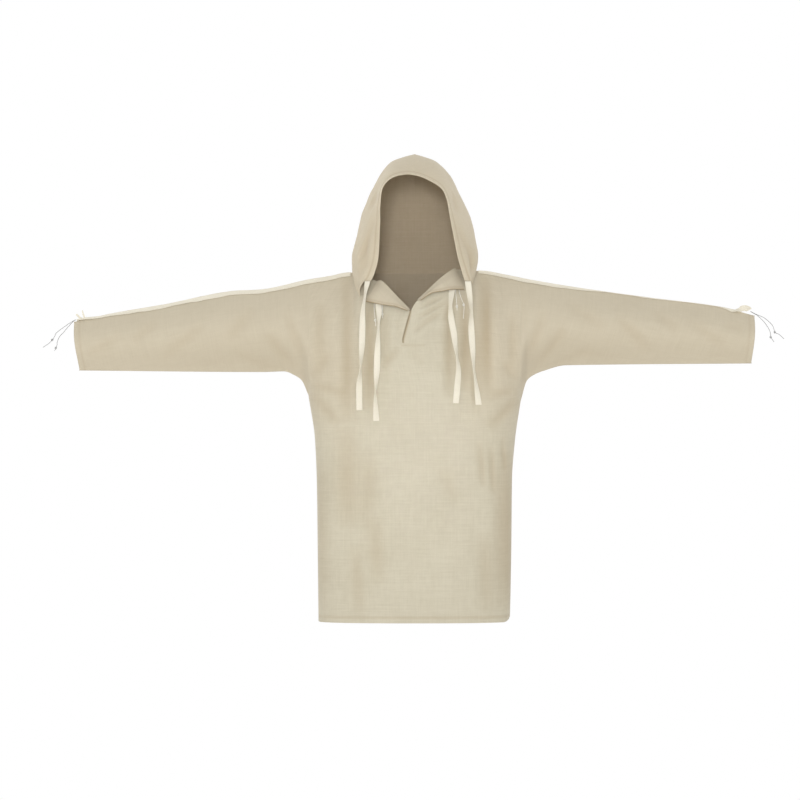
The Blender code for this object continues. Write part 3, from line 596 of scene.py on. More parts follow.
FRONT_FOLDS = (
    (-150, 4, -147, -330, 16, 3.8), (-172, -10, -166, -250, 18, -2), (156, -5, 160, -260, 15, 4.8),
    (177, -10, 180, -250, 16, -3), (-97, -50, -98, -300, 14, 4.2), (-66, -80, -62, -240, 10, 1.6),
    (75, -50, 74, -270, 10, 3), (109, -40, 109, -260, 11, 4), (138, -120, 134, -310, 12, 1.8),
    (214, -80, 212, -210, 12, 2.2), (-205, -60, -208, -200, 14, 2), (64, -50, 12, -74, 4.2, 2),
    (70, -60, 4, -98, 5, 2.2), (64, -78, -4, -126, 6, 2), (84, -52, 66, -104, 6, 1.8),
    (-34, -160, -70, -205, 9, 1.8), (-14, -160, 20, -200, 9, 0.8), (-40, -90, -30, -150, 6, 0.8),
    (226, -272, 160, -335, 11, 2.8), (226, -250, 150, -268, 11, 2), (224, -230, 176, -180, 11, 2.2),
    (-226, -258, -165, -330, 11, 2.4), (-226, -240, -150, -262, 11, 1.8),
    (-224, -226, -180, -170, 11, 1.8), (-150, -330, -146, -560, 24, 3),
    (-100, -380, -104, -560, 19, 2), (-88, -530, -80, -680, 18, 2.2),
    (-128, -590, -122, -750, 15, 2), (140, -365, 150, -465, 8, 2.6), (166, -375, 172, -480, 7, 2.6),
    (191, -355, 198, -430, 6, 2.4), (56, -420, 92, -500, 13, 1.3), (150, -560, 158, -740, 16, 1.8),
    (20, -560, 30, -700, 30, -1.6), (200, -380, 203, -740, 26, 3.6),
    (-206, -400, -204, -740, 18, 1.8),
)
BACK_FOLDS = (
    (-90, 0, -104, -300, 18, 4.2), (92, 0, 108, -310, 18, 4.2), (-30, -10, -36, -240, 16, 2.4),
    (34, -10, 30, -260, 16, 2.4), (0, -260, 4, -620, 30, -2.2), (-150, -20, -158, -230, 15, 2.6),
    (152, -20, 160, -240, 15, 2.6), (226, -268, 150, -345, 12, 3), (226, -246, 140, -262, 11, 2.2),
    (-226, -256, -150, -335, 12, 2.8), (-226, -236, -140, -258, 11, 2),
    (-110, -420, -120, -640, 20, 2.8), (108, -450, 118, -700, 20, 2.6),
    (-60, -560, -52, -752, 18, 1.8), (50, -600, 60, -752, 17, 1.8),
)
BODY_FOLDS = {"front": FRONT_FOLDS, "back": BACK_FOLDS}
print("strokes:", {face: len(strokes) for face, strokes in BODY_FOLDS.items()})


def body_crease(x, z, face):
    """What is taken off the body's depth: folds, waviness and the dip under the hem's stitches."""
    side = half_width(np.minimum(z, armpit_z(x)), x)
    from_side = np.where(z < armpit_z(x), side, ARMHOLE_X) - abs(x)
    from_top = np.where(abs(x) > NECK_HALF_WIDTH, by_side(SHOULDER, x) - z, 1.0)
    fade = smooth_step(0.0, 0.03, from_side) * smooth_step(0.006, 0.04, from_top)
    folds = troughs(x, z, BODY_FOLDS[face]) + ripples(x, z, 11 if face == "front" else 23)
    hem = smooth_step(HEM_Z - 0.001, HEM_Z + 0.045, z) * 0.55 + 0.45
    stitched = STITCH_DIP * bell(z - HEM_Z - HEM_INSET, STITCH_DIP_WIDTH)
    return folds * fade * hem + stitched


def front_surface(x, z):
    """Points on the finished front."""
    depth = body_depth(x, z, "front") - body_crease(np.asarray(x), np.asarray(z), "front")
    return np.stack(np.broadcast_arrays(x, -depth, z), axis=-1)


# %% [markdown]
# ## Cloth shells
# A sheet of cloth is a grid of points with a wall. Two things make it read as cloth and not as
# card: its UV map follows the threads in metres, and a hemmed edge is really turned in, as a
# small rounded fold and a second layer behind it.

# %% Cloth shells
def grid_normals(grid, outward, closed=False):
    """Unit normals of a grid; outward is 1 or -1 to turn them to the outer side."""
    down, across = np.gradient(grid, axis=0), np.gradient(grid, axis=1)
    if closed:
        across = np.roll(grid, -1, axis=1) - np.roll(grid, 1, axis=1)
    normals = np.cross(across, down) * outward
    return normals / np.maximum(np.linalg.norm(normals, axis=2, keepdims=True), 1e-12)


FULL_FOLD_SHADE = 0.0085           # a trough this deep gets the full painted fold shade, a value of 1
HEM_TURN = np.radians((45, 90, 135, 180))


def fold_shade_share(depth, line):
    """Painted shade values of a grid: how deep each point lies in a fold, or the value of a line if
    it is more.
    """
    return np.maximum(np.clip(depth / FULL_FOLD_SHADE, 0.0, 1.0), line)


def with_hem(share, layers):
    """The painted shade values, with rows added as turned_hem adds them."""
    return np.concatenate([share, np.repeat(share[-1:], len(HEM_TURN) + layers, axis=0)])


def turned_hem(grid, outward, layers, gap=0.0018, closed=False):
    """The grid with its last row folded in, and a second layer behind its last rows."""
    normals = grid_normals(grid, outward, closed)
    r = gap / 2
    out = grid[-1] - grid[-2]
    out /= np.maximum(np.linalg.norm(out, axis=1, keepdims=True), 1e-12)
    out -= normals[-1] * np.sum(out * normals[-1], axis=1, keepdims=True)
    middle = grid[-1] - normals[-1] * r
    fold = [middle + normals[-1] * r * math.cos(a) + out * r * math.sin(a)
            for a in HEM_TURN]
    behind = [grid[-1 - k] - normals[-1 - k] * gap for k in range(1, layers + 1)]
    return np.concatenate([grid, np.array(fold), np.array(behind)])


def threads_uv(grid, closed, middle=None, ignoring=(None, None)):
    """UV in metres: u along the rows from the middle column, v down each column. For each of
    the two, one axis may be ignored, so that slanting rows still give level threads."""
    wide = np.concatenate([grid, grid[:, :1]], axis=1) if closed else grid
    uv = []
    for direction, axis in ((1, ignoring[0]), (0, ignoring[1])):
        steps = np.diff(wide, axis=direction)
        if axis is not None:
            steps[..., axis] = 0.0
        lengths = np.cumsum(np.linalg.norm(steps, axis=2), axis=direction)
        uv.append(np.concatenate([np.zeros_like(np.take(lengths, [0], axis=direction)), lengths],
                                 axis=direction))
    u, v = uv
    u = u - u[:, [u.shape[1] // 2 if middle is None else middle]]
    return np.stack([u, v], axis=2)


def cloth(name, grid, finish, wall, outward, closed=False, split=None, uv=None, folds=None):
    """A mesh through a grid of points, with a wall on its inner side. split = (column, first
    row, last row, half gap) cuts a slit there and parts its edges. folds holds the painted shade
    of each point: 1 deep in a fold, and more for the painted shadow in the gap at an open edge."""
    rows, columns = grid.shape[:2]
    folds = np.zeros(rows * columns) if folds is None else folds.reshape(-1)
    points = grid.reshape(-1, 3)
    number = np.arange(rows * columns).reshape(rows, columns)
    right_of = number.copy()
    if split is not None:
        column, first, last, apart = split
        extra = np.arange(first, last)
        doubled = points[number[extra, column]] + apart
        folds = np.concatenate([folds, folds[number[extra, column]]])
        points[number[extra, column]] -= apart
        right_of[extra, column] = rows * columns + np.arange(len(extra))
        points = np.vstack([points, doubled])
    if closed:
        number = np.concatenate([number, number[:, :1]], axis=1)
        right_of = np.concatenate([right_of, right_of[:, :1]], axis=1)
    a, b = right_of[:-1, :-1], number[:-1, 1:]
    c, d = number[1:, 1:], right_of[1:, :-1]
    faces = np.stack([a, b, c, d], axis=2).reshape(-1, 4)
    uv = threads_uv(grid, closed) if uv is None else uv
    corners = np.stack([uv[:-1, :-1], uv[:-1, 1:], uv[1:, 1:], uv[1:, :-1]], axis=2)
    corners = corners.reshape(-1, 4, 2)
    if outward < 0:
        faces, corners = faces[:, ::-1], corners[:, ::-1]
    mesh = bpy.data.meshes.new(name)
    mesh.from_pydata(points.tolist(), [], faces.tolist())
    layer = mesh.uv_layers.new(name="cloth")
    layer.uv.foreach_set("vector", corners.reshape(-1).astype(np.float32))
    # fold: the painted shade of each point, which the linen materials read
    mesh.attributes.new("fold", "FLOAT", "POINT").data.foreach_set("value", folds)
    mesh.materials.append(finish)
    mesh.shade_smooth()
    sides = np.zeros(len(mesh.loops), int)
    mesh.loops.foreach_get("edge_index", sides)
    cut = np.bincount(sides, minlength=len(mesh.edges)) < 2
    mesh.attributes.new("sharp_edge", "BOOLEAN", "EDGE").data.foreach_set("value", cut)
    obj = add_object(name, mesh)
    if wall:
        # The linen pieces' inner faces get the darker copy of the linen, painted shade for the
        # inside.
        if finish in (linen_cloth, sleeve_cloth, hood_cloth_painted_light):
            mesh.materials.append(wrong_side_painted_shade)
        give_wall(obj, wall)
    return obj


def apply_modifiers(obj):
    select_only(obj)
    for modifier in list(obj.modifiers):
        bpy.ops.object.modifier_apply(modifier=modifier.name)
    obj.select_set(False)


def give_wall(obj, wall):
    solidify = obj.modifiers.new("wall", "SOLIDIFY")
    solidify.thickness = wall
    solidify.offset = -1.0
    solidify.material_offset = len(obj.data.materials) - 1
    apply_modifiers(obj)


def declare(obj, node, flat, area=None):
    """Hangs a sheet from the root in place of its solid, which it hides, and prints its triangles
    and its cloth against the size of the cut piece.
    """
    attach(obj, "root")
    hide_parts(node)
    mesh = obj.data
    mesh.calc_loop_triangles()
    made = sum(p.area for p in mesh.polygons) / 2
    print(f"{obj.name}: {len(mesh.loop_triangles)} triangles, {made:.4f} m2 of cloth, "
          f"{made / (area or flat[0] * flat[1]):.2f} of the cut piece")
    return obj


def hem_line(grid, outward, inset, closed=False):
    """Points and normals on the line that lies inset from the grid's last row."""
    normals = grid_normals(grid, outward, closed)
    points, ups = [], []
    for column in range(grid.shape[1]):
        line = grid[::-1, column]
        along = run_along(line)
        points.append([np.interp(inset, along, line[:, k]) for k in range(3)])
        ups.append([np.interp(inset, along, normals[::-1, column, k]) for k in range(3)])
    return np.array(points), np.array(ups)


stitch_lines = []            # (name, points, normals, distance between stitches)


# %% [markdown]
# ## Front and back
# Each panel is one grid from the hem to the shoulder. Its columns run level from side seam to
# side seam, and on the front one column follows the slit below the neck, where the mesh is cut
# and its two edges are parted. The hem is turned in 13 mm and stitched.

# %% Front and back
CORNER = 0.015
HEM_LAYERS = 4               # rows of points in the layer behind a hem
BODY_COLUMNS = (70, 74)      # up to the slit from the right, and on from it
BODY_ROWS = (150, 92)        # below and above the armpits
FACING_PLACE = (-0.0036, -0.1565)    # middle of the stitches under the slit
FACING_HALF = 0.025
# the slit's painted shadow: past 1, so that it takes the gap's dark tone
SLIT_SHADOW_TONE = 1.6
BODY_FLAT = {"front": (0.52, 0.8), "back": (0.52, 0.8)}
SLIT_PARTING = np.array((0.00035, 0.0, 0.0))


def body_columns():
    """Places across the body, from -1 to 1, and the number of the slit's column."""
    slit = SLIT_TOP[0] / ARMHOLE_X
    up_to = np.linspace(-1.0, slit, BODY_COLUMNS[0])
    return np.concatenate([up_to, np.linspace(slit, 1.0, BODY_COLUMNS[1])[1:]]), len(up_to) - 1


def slit_shift(x, z):
    """Moves the columns near the slit, so that one of them runs along it."""
    lean = (SLIT_END[0] - SLIT_TOP[0]) / (SLIT_END[1] - SLIT_TOP[1])
    at_slit = (np.clip(z, SLIT_END[1], SLIT_TOP[1]) - SLIT_TOP[1]) * lean
    fading = smooth_step(-0.262, SLIT_END[1], z)
    near = np.maximum(0.0, 1 - abs(x - SLIT_TOP[0]) / 0.11) ** 2
    return at_slit * fading * near


def corner_lift(x, z):
    """Raises the hem near the left side seam, where its corner is rounded."""
    into = np.clip(CORNER - (half_width(z, x) - x), 0.0, CORNER * 0.97)
    return (CORNER - np.sqrt(CORNER ** 2 - into ** 2)) * smooth_step(HEM_Z + 0.06, HEM_Z, z)


def body_panel(face):
    """The front or the back: rows up to the armpits, then rows up to the shoulders."""
    shares, slit_column = body_columns()
    lower = np.linspace(0.0, 1.0, BODY_ROWS[0])[:-1, None]
    base_x = shares[None, :] * ARMHOLE_X
    z_low = HEM_Z + (armpit_z(base_x) - HEM_Z) * lower
    x_low = shares[None, :] * half_width(z_low, base_x)
    y_low = lower_depth(x_low, z_low, face)
    w = 1 - (1 - np.linspace(0.0, 1.0, BODY_ROWS[1])[:, None]) ** 1.15
    x_high = np.repeat(base_x, len(w), axis=0)
    if face == "front":
        z_plain = armpit_z(x_high) + (top_z(x_high, face) - armpit_z(x_high)) * w
        x_high = x_high + slit_shift(x_high, z_plain)
    z_high = armpit_z(x_high) + (top_z(x_high, face) - armpit_z(x_high)) * w
    y_high = upper_depth(x_high, w, face)
    z_low = z_low + corner_lift(x_low, z_low)
    x, z = np.vstack([x_low, x_high]), np.vstack([z_low, z_high])
    y = np.vstack([y_low, y_high]) - body_crease(x, z, face)
    y = np.maximum(y, 0.0)
    grid = np.stack([x, FACING[face] * y, z], axis=2)
    outward = -FACING[face]
    hemmed = turned_hem(grid[::-1], -outward, HEM_LAYERS)[::-1]
    split = None
    if face == "front":
        above = np.nonzero(hemmed[:, slit_column, 2] > SLIT_END[1] + 0.001)[0]
        right_flap = smooth_step(0.02, 0.0, abs(hemmed[:, :, 0] - hemmed[:, [slit_column], 0]))
        height = smooth_step(SLIT_END[1], SLIT_END[1] + 0.03, hemmed[:, :, 2])
        is_right = np.arange(len(shares))[None, :] <= slit_column
        hemmed[:, :, 1] -= 0.0016 * right_flap * height * is_right
        split = (slit_column, above[0], len(hemmed), SLIT_PARTING)
    uv = threads_uv(hemmed, False, ignoring=(2, 0))
    # Painted shade values: a darker line along the hem's and the facing's stitches, and the slit's
    # column painted as a dark shadow line.
    line = 0.55 * bell(z - HEM_Z - HEM_INSET, HEM_TONE_WIDTH)
    if face == "front":
        over_facing = abs(x - FACING_PLACE[0]) < FACING_HALF
        line += 0.45 * bell(z - FACING_PLACE[1], 0.002) * over_facing
        line[above[0] - len(hemmed) + len(grid):, slit_column] = SLIT_SHADOW_TONE
    folds = fold_shade_share(troughs(x, z, BODY_FOLDS[face]), line)
    obj = cloth(f"{face}_cloth", hemmed, linen_cloth, LINEN_WALL, outward, split=split, uv=uv,
                folds=with_hem(folds[::-1], HEM_LAYERS)[::-1])
    stitch_lines.append((f"hem_{face}", *hem_line(grid[::-1], -outward, HEM_INSET), 0.004))
    return declare(obj, face, BODY_FLAT[face])


front = body_panel("front")
back = body_panel("back")

# %% [markdown]
# ## Sleeves
# Each sleeve is one straight piece, sewn into a tube along the underarm. Laid on its side it
# keeps a fold along the top and one underneath, and it opens out to a lens shape at the cuff.
# Its weft runs round it, so the stronger slubs stand upright. Creases fan out from the armpit.

# %% Sleeves
SLEEVE_ROWS = 190
SLEEVE_HALF = 44             # steps from the fold underneath to the one on top
SLEEVE_HEM_LAYERS = 5
SLEEVE_AREA = 0.185
SLEEVE_FLAT = (0.42, 0.53)
SLEEVE_FOLDS = {
    1: (
        (240, -236, 330, -120, 11, 3.4), (242, -240, 390, -160, 11, 3),
        (240, -205, 285, -80, 11, 2.2), (330, -60, 420, -120, 14, 1.8),
        (440, -90, 520, -170, 13, 2.2), (520, -75, 585, -130, 13, 1.8),
        (600, -100, 690, -165, 12, 1.6), (680, -110, 730, -120, 11, 1.4),
        (350, -170, 470, -186, 9, 1.6), (620, -180, 720, -176, 8, 1.4),
    ),
    -1: (
        (240, -232, 325, -130, 11, 3.2), (242, -236, 400, -170, 11, 3),
        (240, -200, 280, -80, 11, 2.2), (350, -70, 410, -150, 14, 2),
        (460, -110, 560, -190, 13, 2.2), (560, -100, 620, -150, 12, 1.8),
        (640, -130, 720, -185, 12, 1.6), (400, -190, 520, -203, 8, 1.6),
    ),
}


def sleeve_grid(side):
    """A tube of rows from the armhole to the cuff, and the painted shade value of each point."""
    half = (1 - np.cos(np.linspace(0, math.pi, SLEEVE_HALF + 1))) / 2
    w = np.concatenate([half, half[-2:0:-1]])[None, :]
    toward = np.where(np.arange(w.size) <= SLEEVE_HALF, -1.0, 1.0)[None, :]
    share = np.linspace(0.0, 1.0, SLEEVE_ROWS)[:, None]
    end = CUFF_BOTTOM[side] + (CUFF_TOP[side] - CUFF_BOTTOM[side]) * w
    end = end + CUFF_BULGE[side] * np.sin(math.pi * w) * w
    out = ARMHOLE_X + (end - ARMHOLE_X) * share
    low, top = smooth_between(UNDERARM[side], out), smooth_between(SHOULDER[side], out)
    z = low + (top - low) * w
    front_folds = troughs(out, z, SLEEVE_FOLDS[side]) + ripples(out, z, 31 + side)
    back_folds = troughs(out, z, SLEEVE_FOLDS[-side]) + ripples(out, z, 51 + side)
    fade = np.sin(math.pi * np.clip(w, 0, 1)) ** 0.8 * smooth_step(0.0, 0.012, out - ARMHOLE_X)
    cuff = smooth_step(0.0, 0.05, end - out) * 0.6 + 0.4
    pucker = 0.0007 * waves(out, 0 * z, 0.017, 61 + side) * bell(top - z - 0.016, 0.012)
    stitched = STITCH_DIP * bell(end - out - HEM_INSET, STITCH_DIP_WIDTH)
    taken = np.where(toward < 0, front_folds, back_folds) * fade * cuff + pucker + stitched * fade
    y = toward * np.maximum(sleeve_section(out, w) - taken, 0.0)
    # Painted shade in the creases, and a darker line along the cuff's stitches.
    deep = np.where(toward < 0, troughs(out, z, SLEEVE_FOLDS[side]),
                    troughs(out, z, SLEEVE_FOLDS[-side])) * fade * 0.6
    line = 0.25 * bell(end - out - HEM_INSET, HEM_TONE_WIDTH)
    return np.stack([side * out, y, z], axis=2), fold_shade_share(deep, line)


def sleeve(side):
    grid, folds = sleeve_grid(side)
    hemmed = turned_hem(grid, -side, SLEEVE_HEM_LAYERS, closed=True)
    name = f"sleeve_{SIDE_NAME[side]}"
    obj = cloth(f"{name}_cloth", hemmed, sleeve_cloth, LINEN_WALL, -side, closed=True,
                folds=with_hem(folds, SLEEVE_HEM_LAYERS))
    points, ups = hem_line(grid, -side, HEM_INSET, closed=True)
    stitch_lines.append((f"hem_{name}", np.vstack([points, points[:1]]),
                         np.vstack([ups, ups[:1]]), 0.004))
    return declare(obj, name, SLEEVE_FLAT, area=SLEEVE_AREA)


sleeves = {side: sleeve(side) for side in (1, -1)}

# %% [markdown]
# ## Hood
# The hood is two mirrored panels joined by one seam, which runs over the crown and down the
# back. The face edge is a hem, stitched 11.5 mm in, and the lower front corners hang free over
# the neck.

# %% Hood
HOOD_RIM = {
    1: ((0.1097, -0.093, -0.0152), (0.1015, -0.1, 0.0126), (0.095, -0.106, 0.0356),
        (0.0861, -0.113, 0.079), (0.0782, -0.117, 0.1235), (0.0724, -0.119, 0.1572),
        (0.0637, -0.12, 0.1789), (0.0506, -0.12, 0.1919), (0.0285, -0.119, 0.204),
        (0.0125, -0.1185, 0.2112), (0.0, -0.118, 0.2146)),
    -1: ((0.096, -0.093, -0.0157), (0.0893, -0.097, -0.0013), (0.0801, -0.106, 0.0356),
         (0.0768, -0.115, 0.1007), (0.0757, -0.119, 0.1463), (0.0714, -0.12, 0.1831),
         (0.058, -0.12, 0.2024), (0.0406, -0.119, 0.2118), (0.0175, -0.1185, 0.216),
         (0.0, -0.118, 0.2146)),
}
HOOD_SIDE = {
    1: ((0.1355, 0.0112), (0.1419, 0.0506), (0.1331, 0.0902), (0.1221, 0.1298),
        (0.1111, 0.1562), (0.0979, 0.1826), (0.0759, 0.2222), (0.0473, 0.2486),
        (0.0231, 0.259), (0.0, 0.266)),
    -1: ((0.137, 0.0078), (0.1397, 0.0506), (0.1287, 0.0902), (0.1177, 0.1298),
         (0.1067, 0.1562), (0.0957, 0.1826), (0.0737, 0.2222), (0.0517, 0.247),
         (0.0231, 0.2592), (0.0, 0.266)),
}
HOOD_BACK = ((0.079, -0.001), (0.1, 0.045), (0.116, 0.095), (0.122, 0.145),
             (0.112, 0.195), (0.082, 0.235), (0.045, 0.2565))
HOOD_HEM = {
    1: ((0.1097, -0.093, -0.0152), (0.1165, -0.092, -0.0153), (0.124, -0.086, -0.0152),
        (0.1262, -0.06, -0.0202), (0.13, -0.042, -0.01), (0.1345, -0.02, 0.002),
        (0.1355, 0.0, 0.0112)),
    -1: ((0.096, -0.093, -0.0157), (0.103, -0.0925, -0.0153), (0.1093, -0.09, -0.0157),
         (0.1205, -0.081, -0.0362), (0.1198, -0.075, -0.0505), (0.132, -0.045, -0.02),
         (0.137, 0.0, 0.0078)),
}
RIM_ANGLE = math.radians(40)
HOOD_FRONT_SHARES = (0.0, 0.16, 0.33, 0.5, 0.67, 0.85, 1.0)
HOOD_EASE = 0.0024
HEM_REACH = 0.3
HOOD_COLUMNS = (48, 42)
HOOD_ROWS = 120
HOOD_HEM_LAYERS = 4
HOOD_FLAT = (0.34, 0.36)
HOOD_AREA = 0.088
HOOD_FOLDS = {               # in millimetres back from the rim, and up from the lower edge
    1: (
        (30, 10, 60, 80, 12, 3), (52, 30, 20, 120, 13, 2.2), (30, 150, 60, 200, 14, 2.4),
        (110, 20, 150, 110, 18, 3.4), (200, 30, 210, 160, 20, 3), (60, 230, 130, 240, 14, 2),
    ),
    -1: (
        (28, 20, 58, 100, 12, 3), (50, 60, 24, 140, 13, 2.2), (34, 170, 70, 215, 14, 2.4),
        (120, 20, 140, 130, 18, 3.4), (190, 30, 205, 150, 20, 3), (50, 240, 120, 230, 14, 2),
    ),
}


def hood_base_behind(x, side):
    """The hood's lower edge behind the shoulder, where it laps over the body's neck edge."""
    wide = HOOD_SIDE[side][0][0]
    reach = float(neck_reach(x / wide * NECK_HALF_WIDTH, "back"))
    low, high = 0.8, 1.0
    for _ in range(30):
        middle = (low + high) / 2
        if upper_depth(side * x, middle, "back") > reach + 0.0006:
            low = middle
        else:
            high = middle
    start, top = armpit_z(side * x), float(top_z(np.array(side * x), "back"))
    lift = HOOD_EASE * (0.5 + 2.3 * (x / wide) ** 8)
    return x, reach + 0.0018 + HOOD_EASE, start + (top - start) * high + lift


def hood_grid(side):
    """Rows from the lower edge up to the crown, each from the rim round to the back seam."""
    rim = smooth_route(HOOD_RIM[side], HOOD_ROWS)[:, None]
    out = smooth_route([(x, 0.0, z) for x, z in HOOD_SIDE[side]], HOOD_ROWS)[:, None]
    seam = smooth_route([(0.0, y, z) for y, z in HOOD_BACK], HOOD_ROWS)[:, None]
    shares = np.linspace(0, 1, HOOD_COLUMNS[0])
    angle = (RIM_ANGLE + (math.pi / 2 - RIM_ANGLE) * shares)[None, :]
    near = np.cos(angle) / math.cos(RIM_ANGLE)
    across = (np.sin(angle) - math.sin(RIM_ANGLE)) / (1 - math.sin(RIM_ANGLE))
    x = rim[..., 0] + (out[..., 0] - rim[..., 0]) * across
    y = rim[..., 1] * near
    z = out[..., 2] - (out[..., 2] - rim[..., 2]) * np.maximum(near, 0) ** 1.5
    behind = np.linspace(0, math.pi / 2, HOOD_COLUMNS[1] + 1)[None, 1:]
    x = np.hstack([x, out[..., 0] * np.cos(behind)])
    y = np.hstack([y, seam[..., 1] * np.sin(behind)])
    z = np.hstack([z, out[..., 2] + (seam[..., 2] - out[..., 2]) * (1 - np.cos(behind))])
    grid = np.stack([x, y, z], axis=2)
    hem = [smooth_between([(s, p[k]) for s, p in zip(HOOD_FRONT_SHARES, HOOD_HEM[side])], shares)
           for k in range(3)]
    wanted = np.vstack([np.array(hem).T,
                        [hood_base_behind(px, side) for px in grid[0, HOOD_COLUMNS[0]:, 0]]])
    q = np.linspace(0, 1, HOOD_ROWS)[:, None, None]
    grid = grid + (wanted - grid[0])[None] * np.maximum(0.0, 1 - q / HEM_REACH) ** 2
    grid[..., 0] = np.maximum(grid[..., 0], 0.0)
    uv = threads_uv(grid, False, middle=0)
    u, v = uv[..., 0], uv[..., 1]
    fade = smooth_step(0.002, 0.03, grid[..., 0]) * smooth_step(0.0, 0.02, v)
    rim_fade = smooth_step(0.0, 0.025, u) * 0.7 + 0.3
    deep = troughs(u, v, HOOD_FOLDS[side])
    taken = (deep + 1.7 * ripples(u, v, 71 + side)) * fade * rim_fade
    taken += 1.2 * STITCH_DIP * bell(u - HEM_INSET, STITCH_DIP_WIDTH)
    grid = grid - grid_normals(grid, 1) * taken[..., None]
    # Painted shade in the creases, and a darker line along the face edge's stitches.
    folds = fold_shade_share(deep * 0.6 * fade, 0.7 * bell(u - HEM_INSET, 0.002))
    grid[..., 0] = np.maximum(grid[..., 0], 0.0)
    grid[-1, :, 0] = grid[:, -1, 0] = -0.00002      # so that the two panels meet
    return grid * (side, 1, 1), folds


def hood(side):
    grid, folds = hood_grid(side)
    sideways = grid.transpose(1, 0, 2)[::-1]        # rows from the back seam to the rim
    hemmed = turned_hem(sideways, side, HOOD_HEM_LAYERS)
    uv = threads_uv(hemmed, False, middle=0)[..., ::-1]
    name = f"hood_{SIDE_NAME[side]}"
    obj = cloth(f"{name}_cloth", hemmed, hood_cloth_painted_light, LINEN_WALL, side, uv=uv,
                folds=with_hem(folds.T[::-1], HOOD_HEM_LAYERS))
    stitch_lines.append((f"hem_{name}", *hem_line(sideways, side, HEM_INSET), 0.004))
    base_line = hem_line(grid[::-1], -side, 0.006)
    stitch_lines.append((f"base_{name}", *base_line, 0.004))
    return declare(obj, name, HOOD_FLAT, area=HOOD_AREA)


hoods = {side: hood(side) for side in (1, -1)}

# %% [markdown]
# ## Lapels
# The neck opening is faced on the inside. Its two corners are turned out over the front, each
# rolling over the edge in a soft round fold about 6 mm thick, with a narrow hem along the free
# edge. A painted shadow, a dark line under that edge, stands for the gap behind it.

# %% Lapels
LAPEL_FOLD = {
    1: ((0.0911, 0.0102), (0.0835, 0.008), (0.0595, -0.0094), (0.0262, -0.0408),
        (0.0085, -0.0567)),
    -1: ((-0.0813, -0.016), (-0.0685, -0.0201), (-0.0384, -0.0521), (-0.0125, -0.0787)),
}
LAPEL_EDGE = {
    1: ((0.1082, -0.0335), (0.0812, -0.0335), (0.0595, -0.0379), (0.0373, -0.0422),
        (0.013, -0.0575)),
    -1: ((-0.1059, -0.0596), (-0.0891, -0.0633), (-0.0667, -0.0677), (-0.045, -0.0705),
         (-0.0165, -0.08)),
}
LAPEL_LIFTS = ((0.0, 0.003), (0.4, 0.0088), (1.0, 0.0115))
LAPEL_FLAT = {1: (0.125, 0.056), -1: (0.11, 0.062)}
LAPEL_AREA = {1: 0.0042, -1: 0.004}
LAPEL_STATIONS = 64
LAPEL_ROWS = 18              # from the fold to the free edge
LAPEL_ROLL = (0.0028, 0.0029)        # the fold's reach over the edge, and up or down
LAPEL_HEM = 0.0048
LAPEL_HEM_LAYERS = 3


def lapel(side):
    """Rows from inside the neck, round the rolled edge and out to the free edge."""
    fold = smooth_route(LAPEL_FOLD[side], LAPEL_STATIONS)
    edge = smooth_route(LAPEL_EDGE[side], LAPEL_STATIONS)
    rows = []
    run = edge - fold
    length = np.linalg.norm(run, axis=1, keepdims=True)
    for inside, lift in ((0.011, -0.003), (0.006, -0.003), (0.0022, -0.0028)):
        rows.append((fold + run / length * np.minimum(inside, length * 0.5), lift))
    for angle in np.radians((-60, -25, 0, 30, 62)):
        rows.append((fold - run / length * LAPEL_ROLL[0] * math.cos(angle),
                     LAPEL_ROLL[1] * math.sin(angle)))
    for share in np.linspace(0, 1, LAPEL_ROWS):
        rows.append((fold + run * share, float(smooth_between(LAPEL_LIFTS, share))))
    grid = []
    for places, lift in rows:
        x, z = places[:, 0], places[:, 1]
        wavy = max(lift, 0.0) * 0.14 * waves(x, z, 0.02, 83 + side)
        grid.append(np.stack([x, -body_depth(x, z, "front") - lift - wavy, z], axis=1))
    grid = np.array(grid)
    hemmed = turned_hem(grid, side, LAPEL_HEM_LAYERS, gap=0.0014)
    name = f"lapel_{SIDE_NAME[side]}"
    from_edge = np.linalg.norm(grid - grid[-1:], axis=2)
    # Darker along the hem's stitches, and a painted shadow on the free edge for the gap behind it.
    line = 0.6 * bell(from_edge - LAPEL_HEM, 0.0018) + 1.4 * (from_edge < 0.0012)
    obj = cloth(f"{name}_cloth", hemmed, sleeve_cloth, LINEN_WALL, side,
                folds=with_hem(line, LAPEL_HEM_LAYERS))
    stitch_lines.append((f"hem_{name}", *hem_line(grid, side, LAPEL_HEM), 0.0032))
    return declare(obj, name, LAPEL_FLAT[side],
                   area=LAPEL_AREA[side])


lapels = {side: lapel(side) for side in (1, -1)}

# %% [markdown]
# ## Ties
# Four lengths of half-inch twill tape hang free: two from the hood's lower corners and two from
# under the lapels. Hanging tape turns as it falls, so each has a turn at every point.

